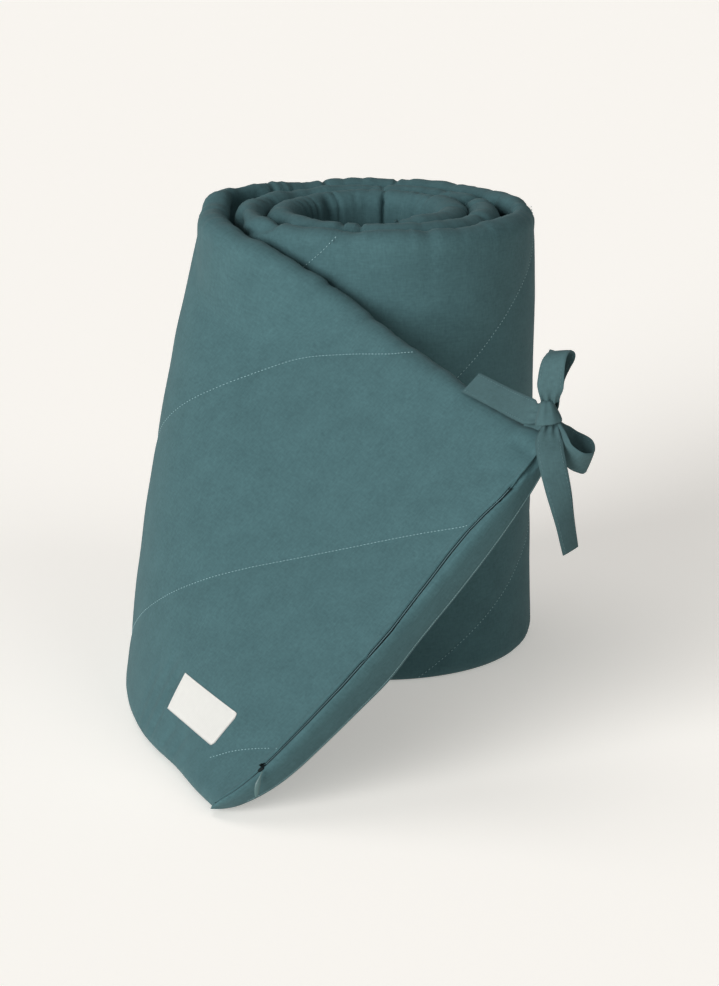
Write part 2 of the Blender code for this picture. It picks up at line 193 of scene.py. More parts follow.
@dataclass(frozen=True)
class WovenCotton(Finish):
    """Plain-woven dyed cotton. Uneven threads and a soft nap give it a mottled, matt face.

    Attributes:
        face: the colour of the threads that stand up.
        shade: the colour between the threads.
        thread_mm: thread spacing. The real one is 0.35 mm, which is finer than the render can show, so it
            is drawn coarser.
        slub_mm: length of the thick and thin places in a thread.
        slub_width: how wide those are, in threads.
        cloud_mm: size of the soft patches that rubbing and washing leave.
        nap_mm: size of the tufts of raised fibre.
        relief_mm: how far the weave stands out.
    """

    face: str
    shade: str
    thread_mm: float = 0.8
    slub_mm: float = 5.0
    slub_width: float = 1.6
    cloud_mm: float = 18.18
    nap_mm: float = 2.381
    relief_mm: float = 0.08

    def looks(self, tree: NodeTree) -> dict[str, object]:
        """Add the nodes, which read the cloth's own UV map in metres, and return the shader's inputs."""
        place = add_node(tree, "UVMap", uv_map="cloth")
        sides = add_node(tree, "SeparateXYZ", {0: place}).node.outputs
        warp, weft = (self.ribs(tree, sides[side], self.thread_mm) for side in ("X", "Y"))
        weave = add_node(tree, "Math", {0: warp, 1: weft}, operation=Sum.TIMES.value)
        fine, long = 1 / (self.thread_mm * self.slub_width * MM), 1 / (self.slub_mm * MM)
        slubs = []
        for stretch in ((long, fine, 1.0), (fine, long, 1.0)):
            mapped = add_node(tree, "Mapping", {"Vector": place, "Scale": stretch})
            slubs.append(add_node(tree, "TexNoise", {"Vector": mapped, "Scale": 1.0, "Detail": 2.0}))
        clouds = {"Vector": place, "Scale": 1 / (self.cloud_mm * MM), "Detail": 3.0, "Roughness": 0.6}
        cloud = add_node(tree, "TexNoise", clouds)
        nap = add_node(tree, "TexNoise", {"Vector": place, "Scale": 1 / (self.nap_mm * MM), "Detail": 2.0})
        parts = ((slubs[0], 0.55), (slubs[1], 0.55), (cloud, 0.75), (nap, 0.60), (weave, 0.04))
        tone = self.weighed(tree, parts)
        spread = add_node(tree, "MapRange", {"Value": tone, "From Min": 0.90, "From Max": 1.55})
        shades = {"Factor": spread, "A": linear(self.shade), "B": linear(self.face)}
        relief = self.weighed(tree, ((weave, 0.25), (slubs[0], 1.0), (slubs[1], 1.0)))
        bumps = {"Height": relief, "Distance": self.relief_mm * MM, "Strength": 0.7}
        return {
            "Base Color": add_node(tree, "Mix", shades, data_type="RGBA"),
            "Normal": add_node(tree, "Bump", bumps),
            "Roughness": 0.92,
            "Specular IOR Level": 0.25,
            "Sheen Weight": 0.08,
            "Sheen Roughness": 0.45,
            "Sheen Tint": linear("b9d2d2"),
        }


@dataclass(frozen=True)
class SpunThread(Finish):
    """Spun polyester sewing thread, with a faint gloss on its twist.

    Attributes:
        colour: its colour.
        twist_mm: size of the light and dark places that the twist leaves.
    """

    colour: str
    twist_mm: float = 1.111

    def looks(self, tree: NodeTree) -> dict[str, object]:
        """Add the nodes and return the shader's inputs."""
        place = add_node(tree, "TexCoord", out="Object")
        scale = 1 / (self.twist_mm * MM)
        grain = add_node(tree, "TexNoise", {"Vector": place, "Scale": scale, "Detail": 1.0})
        shades = {"Factor": grain, "A": linear(self.colour, 0.8), "B": linear(self.colour, 1.1)}
        return {
            "Base Color": add_node(tree, "Mix", shades, data_type="RGBA"),
            "Normal": add_node(tree, "Bump", {"Height": grain, "Distance": 0.05 * MM}),
            "Roughness": 0.6,
        }


@dataclass(frozen=True)
class LabelSatin(Finish):
    """White damask satin, woven so finely that only a soft gloss and a trace of ribbing show.

    Attributes:
        colour: its colour.
        rib_mm: distance between its ribs, drawn coarser than the real 0.2 mm so that they show.
        cloud_mm: size of its soft patches.
    """

    colour: str
    rib_mm: float = 0.8
    cloud_mm: float = 3.846

    def looks(self, tree: NodeTree) -> dict[str, object]:
        """Add the nodes, which read the cloth's own UV map in metres, and return the shader's inputs."""
        place = add_node(tree, "UVMap", uv_map="cloth")
        ribs = self.ribs(tree, add_node(tree, "SeparateXYZ", {0: place}, out="Y"), self.rib_mm)
        scale = 1 / (self.cloud_mm * MM)
        cloud = add_node(tree, "TexNoise", {"Vector": place, "Scale": scale, "Detail": 3.0})
        relief = self.weighed(tree, ((ribs, 0.3), (cloud, 1.0)))
        shades = {"Factor": cloud, "A": linear(self.colour, 0.95), "B": linear(self.colour, 1.02)}
        return {
            "Base Color": add_node(tree, "Mix", shades, data_type="RGBA"),
            "Normal": add_node(tree, "Bump", {"Height": relief, "Distance": 0.08 * MM, "Strength": 0.6}),
            "Roughness": 0.7,
            "Sheen Weight": 0.15,
        }


@dataclass(frozen=True)
class SmoothFinish(Finish):
    """A smooth finish with fine wear that breaks its gloss: dyed nylon or enamel on zinc.

    Attributes:
        colour: its colour.
        roughness: how dull it is.
        grain_mm: size of the fine unevenness.
        specular: strength of its gloss.
    """

    colour: str
    roughness: float
    grain_mm: float = 0.6
    specular: float = 0.5

    def looks(self, tree: NodeTree) -> dict[str, object]:
        """Add the nodes and return the shader's inputs."""
        place = add_node(tree, "TexCoord", out="Object")
        scale = 1 / (self.grain_mm * MM)
        grain = add_node(tree, "TexNoise", {"Vector": place, "Scale": scale, "Detail": 2.0})
        shades = {"Factor": grain, "A": linear(self.colour, 0.85), "B": linear(self.colour, 1.1)}
        dullness = {"Value": grain, "To Min": self.roughness - 0.06, "To Max": self.roughness + 0.08}
        return {
            "Base Color": add_node(tree, "Mix", shades, data_type="RGBA"),
            "Roughness": add_node(tree, "MapRange", dullness),
            "Normal": add_node(tree, "Bump", {"Height": grain, "Distance": 0.03 * MM, "Strength": 0.5}),
            "Specular IOR Level": self.specular,
        }


# ---------------------------------------------------------------------------------------------------
# Shapes and meshes


def unit(vectors: Array) -> Array:
    """Each vector at length one."""
    return vectors / np.maximum(np.linalg.norm(vectors, axis=-1, keepdims=True), 1e-12)


def smoothly(value: Array, low: float, high: float) -> Array:
    """A soft step from none at low to one at high."""
    share = np.clip((np.asarray(value, float) - low) / (high - low), 0.0, 1.0)
    return share * share * (3 - 2 * share)


def bell(away: Array, reach: float) -> Array:
    """A round hump, one in its middle and nearly none at twice its reach."""
    return np.exp(-((away / reach) ** 2))


def fading(away: Array, reach: float) -> Array:
    """One at an edge, and less and less away from it."""
    return np.exp(-np.maximum(away, 0.0) / reach)


def matched(*parts: float | Array) -> Sequence[Array]:
    """Numbers and arrays, all as arrays of one length."""
    return np.broadcast_arrays(*(np.atleast_1d(np.asarray(part, float)) for part in parts))


def distances(points: Array) -> Array:
    """How far along a line of points each of them is."""
    steps = np.linalg.norm(np.diff(points, axis=0), axis=-1)
    return np.concatenate([[0.0], np.cumsum(steps)])


def superellipse(count: int, power: float) -> tuple[Array, Array]:
    """The two coordinates of a squared circle, from minus one to one."""
    turns = 2 * math.pi * np.arange(count) / count
    first, second = np.cos(turns), np.sin(turns)
    return np.sign(first) * np.abs(first) ** power, np.sign(second) * np.abs(second) ** power


def turned(vectors: Array, axes: Array, angles: Array) -> Array:
    """Turn each vector about an axis of its own.

    Args:
        vectors: the vectors.
        axes: a unit vector for each.
        angles: an angle for each, in radians.

    Returns:
        The turned vectors.
    """
    along = axes * (vectors * axes).sum(-1, keepdims=True)
    cosine, sine = np.cos(angles)[:, None], np.sin(angles)[:, None]
    return along + (vectors - along) * cosine + np.cross(axes, vectors) * sine


def ripple(place: Array, spacing: float, seed: int) -> Array:
    """Smooth noise along a line.

    Args:
        place: where to read it, in metres.
        spacing: distance between its knots, in metres.
        seed: which noise.

    Returns:
        Values from about minus one to one.
    """
    size, middle = 4096, 2000.0
    knots = np.random.default_rng(seed).uniform(-1, 1, size)
    spot = np.asarray(place, float) / spacing + middle
    base = np.floor(spot).astype(int)
    share = smoothly(spot - base, 0.0, 1.0)
    return knots[base % size] * (1 - share) + knots[(base + 1) % size] * share


def billow(across: Array, up: Array, spacing: float, seed: int) -> Array:
    """Smooth noise over a surface.

    Args:
        across: the first coordinate, in metres.
        up: the second coordinate, in metres.
        spacing: distance between its knots, in metres.
        seed: which noise.

    Returns:
        Values from about minus one to one.
    """
    size, middle = 256, 64.0
    knots = np.random.default_rng(seed).uniform(-1, 1, (size, size))
    first = np.asarray(across, float) / spacing + middle
    second = np.asarray(up, float) / spacing + middle
    row, column = np.floor(first).astype(int), np.floor(second).astype(int)
    below, beside = smoothly(first - row, 0.0, 1.0), smoothly(second - column, 0.0, 1.0)
    made = 0.0
    for row_step, row_weight in ((0, 1 - below), (1, below)):
        for column_step, column_weight in ((0, 1 - beside), (1, beside)):
            knot = knots[(row + row_step) % size, (column + column_step) % size]
            made = made + knot * row_weight * column_weight
    return made


def smooth_run(rows: Sequence[Sequence[float]], samples: int) -> Array:
    """Places between the given rows, on a curve through all of them.

    Args:
        rows: the rows that it passes through.
        samples: how many places from one row to the next.

    Returns:
        One row for each place.
    """
    table = np.array(rows, float)
    table = np.vstack([2 * table[0] - table[1], table, 2 * table[-1] - table[-2]])
    made = []
    for first in range(1, len(table) - 2):
        before, here, after, beyond = table[first - 1 : first + 3]
        for step in range(samples):
            share = step / samples
            level = 2 * here + (after - before) * share
            bend = (2 * before - 5 * here + 4 * after - beyond) * share**2
            twist = (3 * here - before - 3 * after + beyond) * share**3
            made.append(0.5 * (level + bend + twist))
    made.append(table[-2])
    return np.array(made)


def rows_of(kind: type, *rows: Sequence[float]) -> tuple:
    """The rows of a table, each with its columns named."""
    return tuple(kind(*row) for row in rows)


class Piece(NamedTuple):
    """A piece's name, the solids that it stands for and its material slot."""

    name: str
    replaces: tuple[str, ...]
    slot: str


def mesh_piece(
    piece: Piece,
    points: Array,
    faces: Faces,
    finish: Material,
    uvs: Array | None = None,
) -> Object:
    """Make a smooth mesh object that rides on the part.

    Args:
        piece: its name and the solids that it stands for.
        points: where its corners are, in the row frame.
        faces: the corners of each face.
        finish: its material.
        uvs: a cloth coordinate in metres for each corner.

    Returns:
        The object.
    """
    mesh = bpy.data.meshes.new(piece.name)
    mesh.from_pydata(np.asarray(points, float).reshape(-1, 3).tolist(), [], faces)
    mesh.validate()
    if uvs is not None:
        corners = np.empty(len(mesh.loops), int)
        mesh.loops.foreach_get("vertex_index", corners)
        layer = mesh.uv_layers.new(name="cloth")
        layer.data.foreach_set("uv", np.asarray(uvs, float).reshape(-1, 2)[corners].ravel())
    mesh.materials.append(finish)
    mesh.shade_smooth()
    mesh.update()
    obj = bpy.data.objects.new(piece.name, mesh)
    bpy.context.scene.collection.objects.link(obj)
    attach(obj, "root")
    if piece.replaces:
        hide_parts(*piece.replaces)
    logger.info("%s: %d faces", piece.name, len(faces))
    return obj


def grid_faces(rows: int, columns: int, closed: bool = False) -> Faces:
    """Faces of a grid whose points are listed row by row.

    Args:
        rows: how many rows.
        columns: how many points each has.
        closed: whether each row's last point joins its first.

    Returns:
        Four corners for each face.
    """
    faces = []
    for start in range(0, (rows - 1) * columns, columns):
        for column in range(columns if closed else columns - 1):
            beside = (column + 1) % columns
            faces.append((start + column, start + columns + column, start + columns + beside, start + beside))
    return faces


def flipped(faces: Faces) -> Faces:
    """The same faces, looking the other way."""
    return [tuple(reversed(face)) for face in faces]


def sheet_faces(rows: int, columns: int) -> Faces:
    """Faces of a thin closed sheet: the grid of its upper face, then its lower face, and the rim between.

    Args:
        rows: how many rows each grid has.
        columns: how many points each row has.

    Returns:
        The corners of each face.
    """
    count = rows * columns
    top = grid_faces(rows, columns)
    faces = top + [tuple(corner + count for corner in face) for face in flipped(top)]
    rim = list(range(columns)) + [row * columns + columns - 1 for row in range(1, rows)]
    rim += [(rows - 1) * columns + column for column in range(columns - 2, -1, -1)]
    rim += [row * columns for row in range(rows - 2, 0, -1)]
    faces += [(after, here, here + count, after + count) for here, after in zip(rim, rim[1:] + rim[:1])]
    return faces


def tube_faces(rows: int, around: int) -> Faces:
    """Faces of a closed body through rings of points, with its two ends.

    Args:
        rows: how many rings.
        around: how many points each has.

    Returns:
        The corners of each face.
    """
    ends = [tuple(range(around)), tuple(reversed(range((rows - 1) * around, rows * around)))]
    return grid_faces(rows, around, True) + ends


def thinned_faces(kept: Array, numbers: Array) -> Faces:
    """Faces of a grid with closed columns whose rows don't all keep the same points.

    Args:
        kept: whether each point is kept, rows by columns.
        numbers: the number of each kept point.

    Returns:
        The corners of each face.
    """
    faces = []
    columns = kept.shape[1]
    for row in range(len(kept) - 1):
        shared = np.flatnonzero(kept[row] & kept[row + 1])
        for here, beside in zip(shared, np.roll(shared, -1)):
            across = (here + np.arange((beside - here) % columns + 1)) % columns
            first = numbers[row, across[kept[row, across]]]
            second = numbers[row + 1, across[kept[row + 1, across]]]
            faces.append((int(first[0]), *second.tolist(), *first[:0:-1].tolist()))
    return faces


# ---------------------------------------------------------------------------------------------------
# The padded band


@dataclass(frozen=True)
class BandShape:
    """Where the band lies. These are the sizes of its solid, in metres and radians.

    A place on the band is given by "along", the distance from where the flap leaves the roll, positive on
    the flap, by the height above the lower edge, and by a share of the depth, one at the outer face. The
    roll is a spiral. The flap starts flat, bends round a cone and goes on flat to its free end.
    """

    tall: float = 0.300
    thickness: float = 0.0204
    rolled_thickness: float = 0.0223
    thickness_changes: Pair = (-0.03, 0.02)
    # How far its weight presses the lower edge together.
    pressed: float = 0.0014

    # The spiral of the roll, round an upright axis.
    axis: Triple = (0.0184, 0.1157, 0.0)
    pitch: float = 0.0228
    sweep: float = math.radians(938.0)
    leaving_radius: float = 0.1046
    leaving_angle: float = math.radians(142.1)

    # The cone of the flap. Its point is this far along and up, and the bend lies between two of its lines.
    flap: float = 0.4407
    cone_along: float = 0.0242
    cone_height: float = 0.3266
    cone_bend: float = 1.7096
    bend_starts: float = math.radians(3.8)
    bend_ends: float = math.radians(55.4)
    bulge: float = 0.0072
    bulge_reach: float = 0.120
    # The floor lifts the flap, and its upper edge by this share less.
    upper_drop: float = 0.5548

    # The flap's way round the roll's outer turn: how it is pushed clear, and raised by that.
    clearing_from: float = 0.030
    clearing_softness: float = 0.005
    clearing_lift: float = 0.45
    clearing_lift_from: Pair = (0.020, 0.120)
    # Past this turn from the leaving line, a point lies before that line and not a whole turn after it.
    clearing_turn: float = math.radians(300.0)

    # The free end's corners. Where a size has two values, the first is the lower corner's.
    corner_lift: float = 0.004
    corner_lift_reach: float = 0.040
    corner_round: Pair = (0.0260, 0.0085)
    corner_round_rise: Pair = (0.022, 0.050)
    corner_round_reach: float = 0.080
    corner_kick: float = 0.0095
    corner_kick_rise: float = 0.020
    corner_kick_reach: float = 0.028
    corner_thinning: Pair = (0.72, 0.58)
    corner_thinning_rise: Pair = (0.032, 0.060)
    corner_thinning_reach: float = 0.030

    # The free end's thickness, with two heights where its gusset is fuller or flatter, and its rounding.
    end_swell: float = 0.30
    end_swell_reach: float = 0.060
    end_fullness: Pair = (0.0026, -0.0012)
    end_fullness_height: Pair = (0.125, 0.064)
    end_fullness_rise: float = 0.022
    end_fullness_reach: float = 0.030
    end_shaped: float = 0.1
    front_rounding: float = 0.0030
    back_rounding: float = 0.0060
    tip_share: float = 0.30
    tip_softening: float = 0.02

    # Where the lower rim is tucked in.
    low_tuck: float = 0.0034
    low_tuck_from_end: float = 0.100
    low_tuck_reach: float = 0.034
    low_tuck_rise: float = 0.030

    @property
    def wound_length(self) -> float:
        """The length of band on the roll."""
        return self.leaving_radius * self.sweep - self.pitch / (4 * math.pi) * self.sweep**2

    def roll_surface(self, along: Array, height: Array) -> tuple[Array, Array]:
        """Find points of the rolled part's middle surface.

        Args:
            along: places along the band, none past the roll.
            height: heights above the lower edge.

        Returns:
            The points from the roll's axis, and the way that the outer face looks.
        """
        shrink = self.pitch / (2 * math.pi)
        inside = np.maximum(self.leaving_radius**2 + 2 * shrink * along, 1e-9)
        wound = (self.leaving_radius - np.sqrt(inside)) / shrink
        radius = self.leaving_radius - shrink * wound
        angle = self.leaving_angle - wound
        outward = np.stack([np.cos(angle), np.sin(angle), np.zeros_like(angle)], -1)
        return outward * radius[:, None] + np.outer(height, (0, 0, 1)), outward

    def cone_surface(self, along: Array, height: Array) -> tuple[Array, Array]:
        """Find points of the flap's middle surface before the floor lifts it.

        Args:
            along: places along the band, none before the flap.
            height: heights above the lower edge.

        Returns:
            The points from the roll's axis, and the way that the outer face looks.
        """
        outward = np.array([math.cos(self.leaving_angle), math.sin(self.leaving_angle), 0.0])
        onward = np.array([-outward[1], outward[0], 0.0])
        upward = np.array([0.0, 0.0, 1.0])
        point = outward * self.leaving_radius + onward * self.cone_along + upward * self.cone_height
        line_along, line_down = along - self.cone_along, self.cone_height - height
        angle = np.arctan2(line_along, line_down)
        before = np.minimum(angle, self.bend_starts)
        line = -np.outer(np.cos(before), upward) + np.outer(np.sin(before), onward)
        first = -upward * math.cos(self.bend_starts) + onward * math.sin(self.bend_starts)
        spin = outward - self.cone_bend * first
        bent = np.linalg.norm(spin) * np.clip(angle - self.bend_starts, 0, self.bend_ends - self.bend_starts)
        spins = np.broadcast_to(unit(spin), line.shape)
        outwards = turned(np.broadcast_to(outward, line.shape), spins, bent)
        line = turned(turned(line, spins, bent), outwards, np.maximum(angle - self.bend_ends, 0.0))
        return point + line * np.hypot(line_along, line_down)[:, None], outwards

    def middle(self, along: Array, height: Array) -> tuple[Array, Array]:
        """Find points of the whole middle surface.

        Args:
            along: places along the band.
            height: heights above the lower edge.

        Returns:
            The points from the roll's axis, and the way that the outer face looks.
        """
        half = self.thickness / 2
        near = np.maximum(0.0, 1 - (self.flap - along) / self.corner_round_reach) ** 2
        for most, rise, away in zip(self.corner_round, self.corner_round_rise, (height, self.tall - height)):
            along = along - most * fading(away, rise) * near
        from_end, on_flap = self.flap - along, np.maximum(along, 0.0)
        rolled, rolled_out = self.roll_surface(np.minimum(along, 0.0), height)
        cone, cone_out = self.cone_surface(on_flap, height)
        dip = self.cone_surface(on_flap, np.full_like(along, half))[0][:, 2] - half
        cone[:, 2] -= dip * (1 - self.upper_drop * height / self.tall)
        cone[:, 2] += self.corner_lift * bell(from_end, self.corner_lift_reach) * (height / self.tall) ** 4
        leaves = (along >= 0)[:, None]
        place, outward = np.where(leaves, cone, rolled), np.where(leaves, cone_out, rolled_out)
        bend_middle = math.tan((self.bend_starts + self.bend_ends) / 2)
        ridge = self.cone_along + (self.cone_height - height) * bend_middle
        bulged = bell(along - ridge, self.bulge_reach) * np.sin(math.pi * height / self.tall)
        place = place + outward * (self.bulge * bulged)[:, None]
        kick = fading(np.maximum(height, half), self.corner_kick_rise)
        kick = kick * fading(from_end, self.corner_kick_reach)
        tuck = fading(height, self.low_tuck_rise)
        tuck = tuck * bell(from_end - self.low_tuck_from_end, self.low_tuck_reach)
        moved = (self.corner_kick * kick - self.low_tuck * tuck) * (along > 0)
        place = place + unit(outward * (1, 1, 0)) * moved[:, None]
        return self.clear_of_roll(along, height, place, outward)

    def clear_of_roll(
        self, along: Array, height: Array, place: Array, outward: Array
    ) -> tuple[Array, Array]:
        """Move the flap's points to outside the roll's outer turn, and raise them as they move out.

        Args:
            along: places along the band.
            height: heights above the lower edge, which the cloth isn't raised past.
            place: points from the roll's axis.
            outward: the way that the outer face looks at each.

        Returns:
            The moved points and the way that the outer face looks there.
        """
        away = np.hypot(place[:, 0], place[:, 1])
        turn = np.mod(np.arctan2(place[:, 1], place[:, 0]) - self.leaving_angle, 2 * math.pi)
        turn = np.where(turn > self.clearing_turn, 0.0, turn)
        lack = self.leaving_radius + self.pitch * turn / (2 * math.pi) - away
        reached = smoothly(along, 0.0, self.clearing_from)
        soft = np.hypot(lack, self.clearing_softness)
        short = (lack + soft) / 2 * reached
        radial = place * (1, 1, 0) / np.maximum(away, 1e-9)[:, None]
        moved = place + radial * short[:, None]
        lifted = moved[:, 2] + self.clearing_lift * short * smoothly(along, *self.clearing_lift_from)
        moved[:, 2] = np.minimum(lifted, np.maximum(place[:, 2], height))
        share = ((1 + lack / soft) / 2 * reached)[:, None]
        return moved, unit(outward * (1 - share) + radial * share)

    def depth_at(self, along: Array, height: Array, share: Array) -> Array:
        """Find how far out from the middle surface a share of the depth is.

        Args:
            along: places along the band.
            height: heights above the lower edge.
            share: one at the outer face, minus one at the inner face.

        Returns:
            Depths in metres.
        """
        half, rolled_half = self.thickness / 2, self.rolled_thickness / 2
        front = rolled_half + (half - rolled_half) * smoothly(along, *self.thickness_changes)
        from_end = np.maximum(self.flap - along, 0.0)
        lost, full = 0.0, 0.0
        sides = (height, self.tall - height)
        for part, rise, away in zip(self.corner_thinning, self.corner_thinning_rise, sides):
            lost = lost + part * fading(from_end, self.corner_thinning_reach) * fading(away, rise)
        for more, level in zip(self.end_fullness, self.end_fullness_height):
            full = full + more * bell(height - level, self.end_fullness_rise)
        swell = 1 + self.end_swell * bell(from_end, self.end_swell_reach)
        back = front - 2 * front * swell * (1 - lost) - full * bell(from_end, self.end_fullness_reach)

        tip = front + (back - front) * self.tip_share
        short_front = 1 - np.minimum(from_end / self.front_rounding, 1.0)
        short_back = 1 - np.minimum(from_end / self.back_rounding, 1.0)
        outer_side = tip + (front - tip) * np.sqrt(np.maximum(1 - short_front**2, 0.0)) * share
        inner_side = tip + (tip - back) * np.maximum(1 - short_back**3, 0.0) ** (1 / 3) * share
        settled = tip * (1 - np.abs(share)) * smoothly(from_end, 0.0, self.tip_softening)
        flap_depth = np.where(share >= 0, outer_side, inner_side) - settled
        from_inner_end = np.clip((along + self.wound_length) / half, 0.0, 1.0)
        rolled_depth = front * share * np.sqrt(1 - (1 - from_inner_end) ** 2)
        return np.where(from_end > self.end_shaped, rolled_depth, flap_depth)

    def place(self, along: Array, height: Array, share: Array, off: float = 0.0) -> Array:
        """Find points of the band in the row frame.

        Args:
            along: places along the band.
            height: heights above the lower edge.
            share: shares of the depth.
            off: how far out from there.

        Returns:
            One point for each place.
        """
        along, height, share = matched(along, height, share)
        middle, outward = self.middle(along, height)
        points = middle + outward * (self.depth_at(along, height, share) + off)[:, None]
        points[:, 2] = np.maximum(points[:, 2] - self.pressed, 0.0)
        return points + np.array(self.axis)

    def on_front(self, from_end: float, height: float, off: float) -> Array:
        """A point in front of the flap's outer face, by its distance from the free end."""
        return self.place(self.flap - from_end, height, 1.0, off)[0]


class QuiltPoint(NamedTuple):
    """A point of a quilting line, in mm: its distance from the free end and its height."""

    from_end: float
    height: float


class Side(Enum):
    """Which face of the band a fold lies on."""

    OUTER = 1
    INNER = -1
    RIM = 0


class Fold(NamedTuple):
    """A valley in the cloth between two points of the band, in mm.

    Each point is a distance from the free end and a height. A negative depth is a ridge.
    """

    side: Side
    from_end: float
    height: float
    to_from_end: float
    to_height: float
    depth: float
    width: float


def folds_on(side: Side, *rows: Sequence[float]) -> tuple[Fold, ...]:
    """The folds on one side of the band."""
    return tuple(Fold(side, *row) for row in rows)


class ZipPlace(NamedTuple):
    """How far the zip's middle lies from the free end at a height, in mm."""

    height: float
    from_end: float


class Groove(NamedTuple):
    """A point on the cloth's level across the zip, in mm: distance from the free end and level."""

    from_end: float
    level: float


